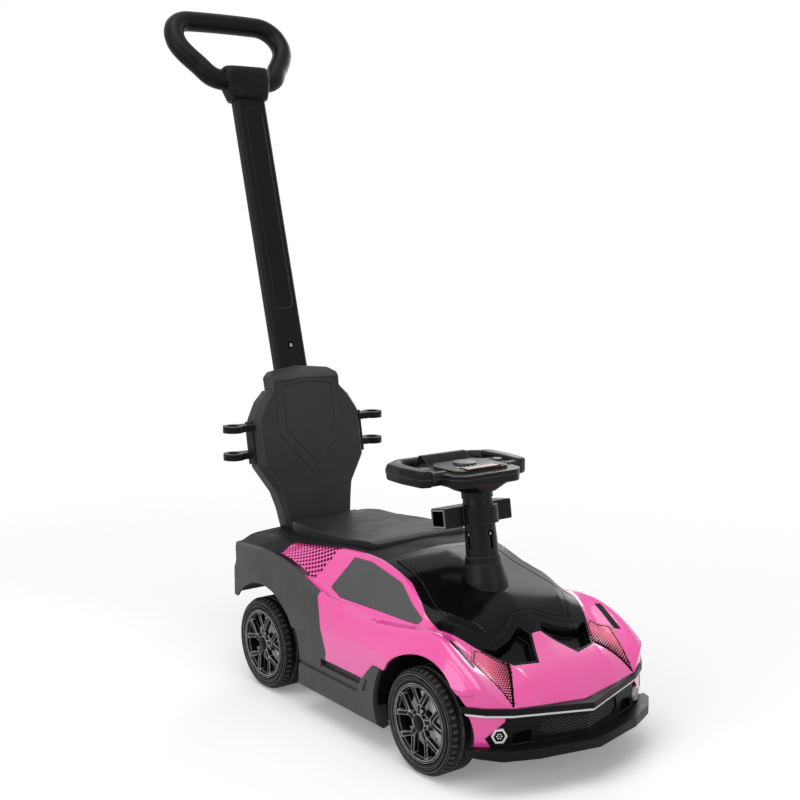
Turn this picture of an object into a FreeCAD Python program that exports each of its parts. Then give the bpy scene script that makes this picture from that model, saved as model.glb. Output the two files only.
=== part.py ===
import FreeCAD, Part
import math
import os

vec = FreeCAD.Vector

# Push car with a parent handle. Millimetres, front towards -Y, right-hand side towards -X, floor at z = 0.

# Running gear
wheel_radius = 60.0
wheel_width = 46.0
axle_front_y = -167.0
axle_rear_y = 167.0
wheel_face_x = 149.0
axle_radius = 4.0
kingpin_x = 112.0
kingpin_radius = 5.0
knuckle_half_height = 11.5
knuckle_arm_back = 24.0
linkage_pin_radius = 3.0
running_clearance = 0.15
linkage_play = 0.9
end_play = 0.5

# Body shell
wall = 3.0
panel_gap = 0.4
bedding_gap = 0.3
front_arch_radius = 76.0
rear_arch_radius = 83.0
rear_arch_y = 160.0
liner_wall = 2.5
front_liner_radius = front_arch_radius + 1
rear_liner_radius = rear_arch_radius + 1

# Steering column, axis leaning back from the vertical
column_lean = 9.0
column_y = -107.5
column_z = 180.0
shaft_radius = 5.0
crank_length = 12.8
button_travel = 2.5

# Seat, backrest and parent handle
seat_front_y = 15.0
seat_rear_y = 228.0
seat_rest_front = 199.0
seat_rest_rear = 187.5
hinge_y = 234.0
hinge_z = 195.0
hinge_pin_radius = 2.5
hinge_barrel_radius = 5.0
backrest_lean = 10.5
backrest_y = 248.0
backrest_z = 190.0
lug_bore_radius = 8.5
lug_outer_radius = 14.5
lug_thickness = 9.0
pole_lean = 15.8
pole_width = 49.0
pole_depth = 23.0
pole_front_y = 337.0
pole_front_z = 479.0
grip_lean = 35.0
grip_bar_radius = 13.0
grip_y = 444.0
grip_z = 808.0

nodes = {}


def box(x0, x1, y0, y1, z0, z1):
    return Part.makeBox(x1 - x0, y1 - y0, z1 - z0, vec(x0, y0, z0))


def rod(start, direction, radius, length):
    return Part.makeCylinder(radius, length, vec(*start), vec(*direction))


def mirrored(shape):
    return shape.mirror(vec(0, 0, 0), vec(1, 0, 0))


def both_sides(shape):
    return Part.makeCompound([shape, mirrored(shape)])


def corner_outline(points, radii, place):
    """Closed wire through 2-D points with each corner rounded by its radius (0 keeps it sharp)."""
    count = len(points)
    starts = []
    ends = []
    middles = []
    for index in range(count):
        here = vec(points[index][0], points[index][1], 0)
        before = vec(points[index - 1][0], points[index - 1][1], 0)
        after = vec(points[(index + 1) % count][0], points[(index + 1) % count][1], 0)
        radius = radii[index] if isinstance(radii, (list, tuple)) else radii
        back = (before - here).normalize()
        onward = (after - here).normalize()
        angle = back.getAngle(onward)
        if radius <= 0 or angle > math.pi - 0.01:
            starts.append(here)
            ends.append(here)
            middles.append(None)
            continue
        cut = radius / math.tan(angle / 2)
        bisector = (back + onward).normalize()
        centre = here + bisector * (radius / math.sin(angle / 2))
        starts.append(here + back * cut)
        ends.append(here + onward * cut)
        middles.append(centre - bisector * radius)
    edges = []
    for index in range(count):
        onto = (index + 1) % count
        if middles[index] is not None:
            arc = Part.Arc(place(starts[index]), place(middles[index]), place(ends[index]))
            edges.append(arc.toShape())
        if (starts[onto] - ends[index]).Length > 1e-4:
            edges.append(Part.makeLine(place(ends[index]), place(starts[onto])))
    return Part.Wire(edges)


def plan_prism(points, z0, z1, radii=0):
    outline = corner_outline(points, radii, lambda p: vec(p.x, p.y, z0))
    return Part.Face(outline).extrude(vec(0, 0, z1 - z0))


def side_prism(points, x0, x1, radii=0):
    outline = corner_outline(points, radii, lambda p: vec(x0, p.x, p.y))
    return Part.Face(outline).extrude(vec(x1 - x0, 0, 0))


def front_prism(points, y0, y1, radii=0):
    outline = corner_outline(points, radii, lambda p: vec(p.x, y0, p.y))
    return Part.Face(outline).extrude(vec(0, y1 - y0, 0))


def lathe_x(profile):
    """Solid of revolution about the X axis from (x, radius) points."""
    face = Part.Face(Part.makePolygon([vec(x, 0, r) for x, r in profile + profile[:1]]))
    return face.revolve(vec(0, 0, 0), vec(1, 0, 0), 360)


def lathe_z(profile):
    """Solid of revolution about the Z axis from (radius, z) points."""
    face = Part.Face(Part.makePolygon([vec(r, 0, z) for r, z in profile + profile[:1]]))
    return face.revolve(vec(0, 0, 0), vec(0, 0, 1), 360)


def fuse_all(shapes):
    return shapes[0].multiFuse(shapes[1:]).removeSplitter()


def biggest(shape):
    return max(shape.Solids, key=lambda solid: solid.Volume)


def joined(shape):
    """Left half and its mirror image made one moulding across the centre plane."""
    return biggest(shape.fuse(mirrored(shape)))


# Body envelope, left half. Each station: y, then section corners (x, z) in order sill, belt crease,
# wing crest, valley, cabin shoulder and centre line.
body_stations = [
    (-306.0, (118, 20), (118, 76), (104, 83), (84, 83), (48, 84), (0, 80)),
    (-262.0, (138, 20), (140, 86), (118, 101), (93, 95), (60, 103), (0, 106)),
    (-226.0, (147, 20), (149, 102), (124, 133), (94, 121), (62, 126), (0, 129)),
    (-190.0, (150, 20), (151, 116), (124, 153), (98, 140), (62, 144), (0, 148)),
    (-150.0, (150, 20), (151, 124), (124, 159), (110, 154), (78, 164), (0, 170)),
    (-110.0, (149, 20), (150, 124), (131, 151), (120, 153), (98, 175), (0, 185)),
    (-70.0, (148, 20), (149, 120), (137, 146), (125, 150), (91, 190), (0, 197)),
    (-20.0, (148, 20), (149, 118), (139, 146), (128, 151), (92, 203), (0, 208)),
    (40.0, (149, 20), (150, 121), (143, 162), (129, 157), (97, 205), (0, 209)),
    (95.0, (150, 20), (151, 128), (146, 179), (129, 172), (104, 199), (0, 205)),
    (160.0, (151, 20), (152, 145), (147, 187), (128, 182), (110, 191), (0, 198)),
    (225.0, (150, 20), (151, 140), (145, 182), (127, 180), (108, 184), (0, 190)),
    (258.0, (149, 20), (150, 138), (143, 180), (126, 178), (107, 182), (0, 187)),
    (292.0, (148, 20), (149, 136), (141, 178), (125, 176), (106, 180), (0, 184)),
]
section_radii = [0, 14, 9, 7, 9, 0]


def body_envelope(inset):
    sections = []
    for station in body_stations:
        y = station[0]
        half = []
        for place, (x, z) in enumerate(station[1:]):
            if place == 0:
                half.append((x - inset, z - inset))
            elif place == 1:
                half.append((x - inset, z))
            elif place == 2:
                half.append((x - inset * 0.8, z - inset))
            else:
                half.append((x, z - inset))
        points = [(0, half[0][1])] + half
        outline = corner_outline(points, [0] + section_radii, lambda p, y=y: vec(p.x, y, p.y))
        sections.append(outline)
    return Part.makeLoft(sections, True, False, False, 3)


# Plan outline from the prow round the side to the middle of the tail, seen from above.
plan_half = [(0, -290), (94, -263), (119, -249), (137, -230), (147, -204), (156, -150), (156, 180), (153, 228),
             (140, 250), (96, 270), (0, 276)]
plan_radii = [0, 26, 20, 14, 0, 0, 0, 14, 16, 30, 0]


def offset_half(half, amount):
    """Half plan outline pushed outwards by an amount, sides parallel."""
    moved = []
    for index, (x, y) in enumerate(half):
        after = half[index + 1] if index + 1 < len(half) else (-half[index - 1][0], half[index - 1][1])
        before = half[index - 1] if index else (-after[0], after[1])
        first = vec(x - before[0], y - before[1], 0).normalize()
        second = vec(after[0] - x, after[1] - y, 0).normalize()
        first_out = vec(first.y, -first.x, 0)
        second_out = vec(second.y, -second.x, 0)
        bisector = (first_out + second_out).normalize()
        reach = amount / bisector.dot(second_out)
        shifted_x = 0.0 if x == 0 else x + bisector.x * reach
        moved.append((shifted_x, y + bisector.y * reach))
    return moved


def rim_prism(offset, z0, z1):
    """Upright prism of the left half of the plan outline."""
    return plan_prism(offset_half(plan_half, offset), z0, z1, plan_radii)


def rising_band(bottom, top, reach=170.0, rise=0.055):
    """Slab whose lower and upper faces rise from the centre plane outwards."""
    climb = reach * rise
    points = [(0, bottom), (reach, bottom + climb), (reach, top + climb), (0, top)]
    return front_prism(points, -330, -190)


lip_top = 89.0
lip_bottom = 82.0
strip_bottom = 79.4
outer = body_envelope(0.0)
inner = body_envelope(wall)
body_solid = outer.common(rim_prism(0, 0, 260))
body_cavity = inner.common(rim_prism(-wall, -10, 260))
body_shell = body_solid.cut(body_cavity)
front_well = rod((82, axle_front_y, wheel_radius), (1, 0, 0), front_arch_radius, 90)
rear_well = rod((97, rear_arch_y, wheel_radius), (1, 0, 0), rear_arch_radius, 70)
door_front_y = -62.0
door_bottom = 81.0
haunch_bottom = 104.0
sill_side = [(-330, -10), (-330, 60), (-250, 60), (-215, 103), (-84, 103), (door_front_y, door_bottom),
             (24, door_bottom), (38, haunch_bottom), (93, haunch_bottom), (98, 118), (226, 112), (310, 118),
             (310, -10)]
body_shell = body_shell.cut(front_well.multiFuse([rear_well, side_prism(sill_side, -10, 200)]))
body_shell = body_shell.cut(rising_band(-60, lip_top))

# Dividing lines between the coloured mouldings, seen from above and from the side.
hood_half = [(0, -197), (7, -197), (30, -235), (61, -228), (88, -188), (106, -152), (102, -122), (86, -76),
             (86, -18), (0, -18)]
cabin_half = [(0, -18), (86, -18), (92, 40), (98, 95), (103, 150), (170, 150), (170, 310), (0, 310)]
haunch_x = 137.0
haunch_side = [(14, 90), (46, 172), (58, 230), (310, 230), (310, 20), (30, 20)]
window_side = [(-136, 155.5), (-94, 174), (-66, 187), (-10, 200), (22, 200), (38, 163), (14, 156)]
quarter_side = [(52, 215), (160, 215), (160, 165), (72, 165)]
headlight_plan = [(89, -189), (64, -225), (92, -264), (107, -211)]
slit_plan = [(112, -178), (117, -184), (114, -222), (108, -216)]


def grown(points, amount):
    """Outline with each corner moved away from the middle by an amount."""
    middle_x = sum(p[0] for p in points) / len(points)
    middle_y = sum(p[1] for p in points) / len(points)
    result = []
    for x, y in points:
        away = vec(x - middle_x, y - middle_y, 0)
        reach = 1 + amount / away.Length
        result.append((middle_x + away.x * reach, middle_y + away.y * reach))
    return result


def hood_zone(grow):
    return plan_prism(offset_half(hood_half, grow), 60, 260)


def cabin_zone(grow):
    half = [(x + (grow if 0 < x < 160 else 0), y - (grow if y < 300 else 0)) for x, y in cabin_half]
    haunch = [(y - grow, z) for y, z in haunch_side[:3]] + haunch_side[3:]
    return plan_prism(half, 60, 260).fuse(side_prism(haunch, haunch_x - grow, 200))


def window_zone(grow):
    return side_prism(grown(window_side, grow), 60, 200, 3)


def quarter_zone(grow):
    return side_prism(grown(quarter_side, grow), 60, 127.5, 1)


def headlight_zone(grow):
    return plan_prism(grown(headlight_plan, grow), 60, 200, 2)


def slit_zone(grow):
    return plan_prism(grown(slit_plan, grow), 90, 200, 1)


# Front fairing: nose, wings and door sides as one moulding.
fairing = body_shell.cut(hood_zone(panel_gap)).cut(cabin_zone(panel_gap))
for zone in (window_zone, quarter_zone, headlight_zone, slit_zone):
    fairing = fairing.cut(zone(panel_gap))
fairing = biggest(fairing)

# Flare: a crescent standing proud round the front of each wheel arch.
flare_rise = 1.6
flare_radius = 84.0
flare_forward = 8.0
flare_drop = 3.0
flare_disc = rod((120, axle_front_y - flare_forward, wheel_radius - flare_drop), (1, 0, 0), flare_radius, 60)
flare = outer.translated(vec(flare_rise, 0, 0)).common(flare_disc.cut(front_well)).cut(inner)
flare = flare.cut(rising_band(-60, lip_top)).common(box(125, 200, -300, -112, 60, 160))
flare = biggest(flare.common(rim_prism(flare_rise, 0, 260)))
nodes["front_fairing"] = joined(biggest(fairing.fuse(flare)))

# Flush inserts in the fairing.
window = biggest(body_shell.common(window_zone(0)).cut(cabin_zone(panel_gap)))
nodes["side_window_left"] = window
nodes["side_window_right"] = mirrored(window)
vent = biggest(body_shell.common(quarter_zone(0)).cut(cabin_zone(panel_gap)))
nodes["quarter_vents"] = both_sides(vent)
lamp = biggest(body_shell.common(headlight_zone(0)).cut(hood_zone(panel_gap)))
nodes["headlight_left"] = lamp
nodes["headlight_right"] = mirrored(lamp)
nodes["wing_slits"] = both_sides(biggest(body_shell.common(slit_zone(0))))

# Hood: raised field with a step round it and two deep scoops at the leading edge.
scoop_half = [(10, -196), (31, -232), (60, -226), (83, -191), (62, -201), (40, -196), (16, -184)]
field_half = [(0, -176), (16, -174), (40, -188), (62, -193), (78, -176), (92, -150), (89, -124), (74, -78),
              (74, -30), (0, -30)]
field_rise = 1.8
scoop_depth = 13.0
column_spot = FreeCAD.Placement(vec(0, column_y, column_z), FreeCAD.Rotation(vec(1, 0, 0), -column_lean))


def on_column(shape):
    placed = shape.copy()
    placed.Placement = column_spot.multiply(placed.Placement)
    return placed


def lowered(drop):
    return outer.translated(vec(0, 0, -drop))


hood = body_shell.common(hood_zone(0))
front_block = body_solid.common(hood_zone(0)).common(box(0, 120, -250, -184, 60, 200))
hood = hood.fuse(front_block.cut(lowered(scoop_depth + wall + 1)))
scoop = plan_prism(scoop_half, 60, 200, 2).cut(lowered(scoop_depth))
hood = hood.cut(scoop)
liner_space = front_liner_radius + liner_wall + panel_gap
hood = hood.cut(rod((84 - panel_gap, axle_front_y, wheel_radius), (1, 0, 0), liner_space, 60))
field = lowered(-field_rise).common(plan_prism(field_half, 100, 260)).cut(lowered(1.0))
hood = joined(hood.fuse(field))
nodes["hood_panel"] = hood.cut(on_column(Part.makeCylinder(shaft_radius + 4, 80, vec(0, 0, -40))))

# Cabin and rear moulding: seat surround, rear deck, haunches and tail.
seat_half = [(0, seat_front_y), (74, seat_front_y), (78, 70), (70, 200), (64, seat_rear_y), (0, seat_rear_y)]
seat_corner = 14.0


def seat_zone(grow, z0, z1):
    half = [(x + (grow if x else 0), y + (grow if y > 100 else -grow)) for x, y in seat_half]
    return plan_prism(half, z0, z1, [0, seat_corner, 0, 0, seat_corner, 0])


rear_body = body_shell.common(cabin_zone(0))
rear_body = rear_body.cut(seat_zone(1.0, 150, 260))
tail_step = 9.0
deck_step = 2.7
tail_levels = [(100, 0), (148, 0), (159, tail_step), (170, 2 * deck_step), (180, deck_step), (260, deck_step)]


def tail_outline(depth, z):
    """Half plan outline with the rear corner and tail moved forwards by a depth."""
    half = plan_half[:8] + [(140 - 0.7 * depth, 250 - 0.7 * depth), (96, 270 - depth), (0, 276 - depth)]
    return corner_outline(half, plan_radii, lambda p: vec(p.x, p.y, z))


tail_band = rim_prism(-wall, 136, 200).cut(rim_prism(-wall - tail_step, 130, 210)).common(body_cavity)
tail_band = biggest(tail_band.common(box(0, 200, 206, 300, 136, 200)))
tail_limit = Part.makeLoft([tail_outline(depth, z) for z, depth in tail_levels], True, True)
tail_cut = box(0, 200, 226, 300, 140, 220).cut(tail_limit)
rear_body = rear_body.fuse(tail_band).cut(tail_cut)
ear_radius = hinge_y - seat_rear_y - 0.8
ear_side = [(hinge_y - ear_radius, 180), (hinge_y - ear_radius, hinge_z + ear_radius),
            (hinge_y + ear_radius, hinge_z + ear_radius), (hinge_y + ear_radius + 2, 180)]
hinge_ear = side_prism(ear_side, 41, 50, [0, ear_radius - 0.2, ear_radius - 0.4, 0]).cut(body_cavity)
hinge_ear = hinge_ear.cut(rod((30, hinge_y, hinge_z), (1, 0, 0), hinge_pin_radius, 40))
rear_body = rear_body.fuse(hinge_ear)
rear_body = rear_body.cut(rod((-1, hinge_y, hinge_z), (1, 0, 0), hinge_barrel_radius + 0.8, 41.7))
nodes["rear_body"] = joined(biggest(rear_body))

# Front bumper: lip under the nose, recessed mask with grille and duct openings, and the splitter below.
splitter_half = [(0, -303), (56, -290), (74, -286), (114, -268), (134, -250), (141, -226), (120, -226),
                 (96, -250), (0, -274)]
mask_bottom = 50.0
mask_face = -4.0
mask_back = -7.5
grille_front = [(0, 57), (52, 57), (60, 64), (56, 76), (0, 74)]
duct_front = [(68, 53), (92, 53), (90, 64), (74, 67), (68, 66)]


def bumper_ring(out_offset, in_offset, z0, z1):
    ring = rim_prism(out_offset, z0, z1).cut(rim_prism(in_offset, z0 - 1, z1 + 1))
    return ring.common(box(0, 200, -330, -205, z0, z1))


lip = bumper_ring(2.0, -9.0, 60, 120).common(rising_band(lip_bottom, lip_top))
mask = bumper_ring(mask_face, mask_back, mask_bottom, 110).common(rising_band(20, lip_bottom))
mask = mask.cut(front_prism(grille_front, -330, -200, [0, 2, 2, 2, 0]))
mask = mask.cut(front_prism(duct_front, -330, -200, 2))
splitter = plan_prism(splitter_half, 41, 52, [0, 0, 8, 16, 14, 3, 0, 0, 0])
ramp = front_prism([(0, 30), (200, 30), (200, 46), (150, 46), (110, 41), (0, 41.5)], -330, -200)
splitter = splitter.cut(ramp)
bumper = fuse_all([lip, mask, splitter])
front_clear = rod((82, axle_front_y, wheel_radius), (1, 0, 0), 72.0, 90)
nodes["front_bumper"] = joined(biggest(bumper.cut(front_clear)))
strip = bumper_ring(1.0, mask_face, 60, 110).common(rising_band(strip_bottom, lip_bottom))
nodes["light_strip"] = joined(biggest(strip.cut(front_clear)))
corner_front = [(114, 52.2), (180, 52.2), (180, 110), (100, 110), (100, 80), (119, 62)]
corner = bumper_ring(-1.0, mask_face, 52.2, 110).common(rising_band(20, strip_bottom))
corner = corner.common(front_prism(corner_front, -330, -200)).cut(front_clear)
nodes["bumper_corners"] = both_sides(biggest(corner))
grille = bumper_ring(mask_back, mask_back - 2.5, mask_bottom + 4, 79)
nodes["grille_mesh"] = joined(biggest(grille.common(box(0, 96, -330, -200, 40, 100))))

# Hexagon fog lamps standing on the mask beside the ducts.
lamp_x = 104.0
lamp_y = -252.5
lamp_z = 64.0
lamp_turn = 29.3


def hexagon(radius, depth):
    points = [vec(radius * math.cos(math.radians(60 * k)), 0, radius * math.sin(math.radians(60 * k)))
              for k in range(7)]
    return Part.Face(Part.makePolygon(points)).extrude(vec(0, -depth, 0))


fog = hexagon(9.0, 4.0).cut(hexagon(6.6, 6.0).translated(vec(0, -1.5, 0)))
fog = fog.fuse(hexagon(3.0, 3.2))
fog.rotate(vec(0, 0, 0), vec(0, 0, 1), lamp_turn)
fog.translate(vec(lamp_x, lamp_y, lamp_z))
nodes["fog_lamps"] = both_sides(fog.cut(rim_prism(mask_face, 0, 200)))

# Chassis tray: floor, perimeter wall, steering forks, shaft bearing and rear axle blocks.
floor_half = [(0, -226), (66, -226), (76, -216), (76, -92), (132, -84), (132, 80), (88, 92), (88, 238),
              (0, 238)]
floor_inside = [(0, -223), (64.8, -223), (73, -214.8), (73, -89.4), (129, -81.4), (129, 77.7), (85, 89.7),
                (85, 235), (0, 235)]
floor_bottom = 32.0
floor_top = 35.5
fork_half_width = 10.0
fork_thickness = 6.0
fork_low = wheel_radius - knuckle_half_height - end_play
fork_high = wheel_radius + knuckle_half_height + end_play
tray = plan_prism(floor_half, floor_bottom, 52).cut(plan_prism(floor_inside, floor_top, 60))
fork_web = box(56, 76, axle_front_y - fork_half_width, axle_front_y + fork_half_width, floor_top,
               fork_high + fork_thickness)
fork_arms = []
for fork_z in (fork_low - fork_thickness, fork_high):
    arm = box(70, kingpin_x, axle_front_y - fork_half_width, axle_front_y + fork_half_width, fork_z,
              fork_z + fork_thickness)
    eye = rod((kingpin_x, axle_front_y, fork_z), (0, 0, 1), fork_half_width, fork_thickness)
    fork_arms.append(arm.fuse(eye))
kingpin_bore = rod((kingpin_x, axle_front_y, 20), (0, 0, 1), kingpin_radius + running_clearance, 80)
bearing_leg = box(58, 68, -135, -113, floor_top, 100)
bearing_beam = box(0, 68, -135, -113, 90, 100)
axle_block = box(66, 88, axle_rear_y - 11, axle_rear_y + 11, floor_top, wheel_radius + 11)
cross_rib = box(0, 130, -2, 1, floor_top, 46).fuse(box(0, 86, 118, 121, floor_top, 46))
side_lip = box(124, 132, -80, 76, 46, 52)
bin_post = box(30, 40, 60, 70, floor_top, 84).fuse(box(30, 40, 190, 200, floor_top, 84))
tray_pieces = [tray, fork_web, bearing_leg, bearing_beam, axle_block, cross_rib, side_lip, bin_post]
tray = fuse_all(tray_pieces + fork_arms)
tray = tray.cut(kingpin_bore)
tray = tray.cut(rod((50, axle_rear_y, wheel_radius), (1, 0, 0), axle_radius + 0.05, 60))
tray = joined(tray)
shaft_bore = on_column(Part.makeCylinder(shaft_radius + running_clearance, 60, vec(0, 0, -110)))
nodes["chassis_tray"] = tray.cut(shaft_bore)

# Wheel-arch liners fixed inside the body shell.
front_liner = rod((84, axle_front_y, wheel_radius), (1, 0, 0), front_liner_radius + liner_wall, 90)
front_space = rod((84 + liner_wall, axle_front_y, wheel_radius), (1, 0, 0), front_liner_radius, 90)
front_liner = front_liner.cut(front_space)
front_liner = front_liner.cut(box(60, 90, -260, -80, 0, 92)).cut(box(60, 200, -260, -80, 0, 56))
front_liner = front_liner.common(body_cavity).common(rim_prism(-9.2, 0, 200))
nodes["front_liners"] = both_sides(biggest(front_liner))
rear_liner = rod((96, rear_arch_y, wheel_radius), (1, 0, 0), rear_liner_radius + liner_wall, 70)
rear_liner = rear_liner.cut(rod((96 + liner_wall, rear_arch_y, wheel_radius), (1, 0, 0), rear_liner_radius, 70))
rear_liner = rear_liner.cut(box(60, 200, 60, 260, 0, 56)).cut(box(60, 200, 165, 270, 0, 119))
rear_liner = rear_liner.common(body_cavity)
rear_liner = rear_liner.cut(rod((90, axle_rear_y, wheel_radius), (1, 0, 0), axle_radius + 4, 30))
nodes["rear_liners"] = both_sides(biggest(rear_liner))

# Side skirts between the wheels.
ledge_top = 71.0
recess_x = 142.0
skirt_top = door_bottom - 0.5
skirt_section = [(132, 30), (141, 28), (149, 34), (151, 56), (150, 61.5), (146.5, 62.5), (146.5, 65),
                 (149.5, 66), (148, ledge_top), (recess_x, ledge_top + 1), (recess_x, skirt_top),
                 (132, skirt_top)]
skirt = front_prism(skirt_section, -108, 94, [0, 3, 4, 6, 1, 0.8, 0.8, 1, 1, 0, 0, 0])
front_block_side = [(-110, 102.5), (-83.5, 102.5), (door_front_y - 0.8, skirt_top), (-54, 66), (-59, 57),
                    (-110, 57)]
front_block = side_prism(front_block_side, 136, 151.5, [0, 1, 2, 3, 2, 0])
block_notch = side_prism([(-79, 84), (-72, 84), (-65, 68), (-72, 68)], 149.5, 160, 1)
rear_block_top = haunch_bottom - 0.5
rear_block_side = [(26, ledge_top - 2), (94, ledge_top - 2), (94, rear_block_top), (38.4, rear_block_top),
                   (25, skirt_top)]
rear_block = side_prism(rear_block_side, 134, 149)
skirt = fuse_all([skirt, front_block.cut(block_notch), rear_block])
front_end = front_liner_radius + liner_wall + panel_gap
rear_end = rear_liner_radius + liner_wall + panel_gap
skirt = skirt.cut(rod((82, axle_front_y, wheel_radius), (1, 0, 0), front_end, 90))
skirt = skirt.cut(rod((90, rear_arch_y, wheel_radius), (1, 0, 0), rear_end, 90))
for hollow_start in (-76, -36, 4, 44):
    skirt = skirt.cut(box(131, 139.5, hollow_start, hollow_start + 36, 34, 77))
nodes["side_skirt_left"] = biggest(skirt)
nodes["side_skirt_right"] = mirrored(biggest(skirt))

# Storage bin under the seat, its flange carrying the seat lid.
seat_slope = (seat_rest_rear - seat_rest_front) / (seat_rear_y - seat_front_y)


def rest_height(y):
    return seat_rest_front + (y - seat_front_y) * seat_slope


def under_seat(drop, y0=-40.0, y1=300.0):
    """Everything below the plane the lid rests on, lowered by a drop."""
    return side_prism([(y0, 0), (y1, 0), (y1, rest_height(y1) - drop), (y0, rest_height(y0) - drop)], -120, 120)


bin_floor = 84.0
bin_wall = 2.5
bin_outer = plan_prism([(0, 30), (64, 30), (60, 214), (0, 214)], bin_floor, 230, [0, 12, 12, 0])
bin_inner = plan_prism([(0, 30 + bin_wall), (64 - bin_wall, 30 + bin_wall), (60 - bin_wall, 214 - bin_wall),
                        (0, 214 - bin_wall)], bin_floor + bin_wall, 260, [0, 10, 10, 0])
bin_flange = seat_zone(5.0, 100, 260).common(under_seat(0)).cut(under_seat(bin_wall))
bin_rim = seat_zone(5.0, 150, 260).cut(seat_zone(2.4, 100, 270)).cut(under_seat(bin_wall))
bin_rim = bin_rim.common(body_cavity)
storage = fuse_all([bin_outer.common(under_seat(0)), bin_flange, biggest(bin_rim)]).cut(bin_inner)
storage = storage.cut(rod((-1, hinge_y, hinge_z), (1, 0, 0), hinge_barrel_radius + 0.8, 41.7))
storage = storage.cut(box(-1, 41.7, 222, 240, 186, 240))
inside_opening = seat_zone(0.6, 60, 260)
under_deck = storage.cut(inside_opening).common(body_cavity.translated(vec(0, 0, -panel_gap)))
storage = storage.common(inside_opening).fuse(under_deck)
nodes["storage_bin"] = joined(biggest(storage))

# Seat lid hinged behind the seat.
lid_top = [(seat_front_y - 2, 206), (18, 212), (26, 215), (46, 213), (80, 208.5), (150, 204), (205, 203.5),
           (seat_rear_y + 2, 201)]
lid_side = lid_top + [(seat_rear_y + 2, 150), (seat_front_y - 2, 150)]
lid_bound = side_prism(lid_side, -100, 100, [0, 6, 8, 30, 60, 40, 12, 0, 0, 0])
lid = seat_zone(0, 150, 260).common(lid_bound).cut(under_seat(0))
hollow = seat_zone(-4, 150, 260).common(lid_bound.translated(vec(0, 0, -4)))
hollow = hollow.cut(box(-1, 46, 214, 240, 100, 260))
lid = lid.cut(hollow)
lid_web = box(0, 40, seat_rear_y - 6, hinge_y, 191.5, 199)
lid_barrel = rod((0, hinge_y, hinge_z), (1, 0, 0), hinge_barrel_radius, 40)
lid = fuse_all([lid, lid_web.cut(under_seat(0, -40, 229)), lid_barrel])
lid = lid.cut(rod((-1, hinge_y, hinge_z), (1, 0, 0), hinge_pin_radius + running_clearance, 60))
nodes["seat_lid"] = joined(biggest(lid))
nodes["seat_hinge_pin"] = rod((-50, hinge_y, hinge_z), (1, 0, 0), hinge_pin_radius, 100)

# Backrest: padded front shell, rear shell with the handle socket, side lugs for a guard rail.
backrest_turn = FreeCAD.Rotation(vec(1, 0, 0), -backrest_lean)
backrest_spot = FreeCAD.Placement(vec(0, backrest_y, backrest_z), backrest_turn)
backrest_split = 9.0
backrest_back = 26.0
head_bottom = 190.0
front_half = [(0, -14), (47, -14), (53, 24), (58, 50), (80, 84), (81, 150), (66, 174), (53, head_bottom),
              (0, head_bottom)]
rail_half = [(0, -14), (51, -14), (57, 24), (64, 48), (88, 86), (88, 150), (74, 175), (58, head_bottom),
             (0, head_bottom)]
backrest_radii = [0, 5, 20, 20, 12, 16, 10, 3, 0]
head_half = [(0, head_bottom - 6), (54, head_bottom - 6), (55, 208), (47, 216), (0, 222)]
panel_lines = ([(0, 62), (54, 127), (52, 199), (0, 203)], [(0, 84), (40, 131), (42, 193), (0, 197)])


def on_backrest(shape):
    placed = shape.copy()
    placed.Placement = backrest_spot.multiply(placed.Placement)
    return placed


def shrunk(half, amount):
    """Half outline pulled in by an amount on the side, top and bottom."""
    low = min(z for x, z in half)
    result = []
    for x, z in half:
        new_z = z + amount if z == low else z - (amount if z > 150 else 0)
        result.append((x - amount if x > 0 else 0, new_z))
    return result


def backrest_line(half, y):
    return corner_outline(half, backrest_radii, lambda p: vec(p.x, y, p.y))


cushion = Part.makeLoft([backrest_line(front_half, 0), backrest_line(rail_half, backrest_split)], True, True)
head_slope = [(0, 100), (backrest_back, 100), (backrest_back, 219), (backrest_back - 3, 222), (4, 207),
              (0, 202)]
head = front_prism(head_half, 0, backrest_back, [0, 0, 4, 8, 0]).common(side_prism(head_slope, -1, 90))
head = head.cut(box(-1, 90, backrest_split, 60, 100, head_bottom))
cushion_hollow = front_prism(shrunk(rail_half, 7), 3.2, backrest_split + 1, backrest_radii)
for rib_level in (10, 60, 110, 160):
    cushion_hollow = cushion_hollow.cut(box(-1, 100, 0, 20, rib_level, rib_level + 2.5))
cushion = cushion.cut(cushion_hollow.cut(box(-1, 100, 0, 20, 170, 240))).fuse(head)
for line in panel_lines:
    groove = front_prism(line, -1, 1.3, [0, 8, 8, 0])
    cushion = cushion.cut(groove.cut(front_prism(shrunk(line, 1.5), -2, 3, [0, 8, 8, 0])))
deck_top = body_solid.translated(vec(0, 0, bedding_gap))
cushion = joined(biggest(on_backrest(cushion).cut(deck_top)))

pole_spot = FreeCAD.Placement(vec(0, pole_front_y, pole_front_z), FreeCAD.Rotation(vec(1, 0, 0), -pole_lean))
pole_bottom = -238.0
pole_top = 330.0


def on_pole(shape):
    placed = shape.copy()
    placed.Placement = pole_spot.multiply(placed.Placement)
    return placed


def pole_bar(shrink, z0, z1):
    """Rounded bar along the pole, its faces moved in by a shrink."""
    wide = pole_width / 2 - shrink
    points = [(-wide, shrink), (wide, shrink), (wide, pole_depth - shrink), (-wide, pole_depth - shrink)]
    return plan_prism(points, z0, z1, 7.0 - shrink)


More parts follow.
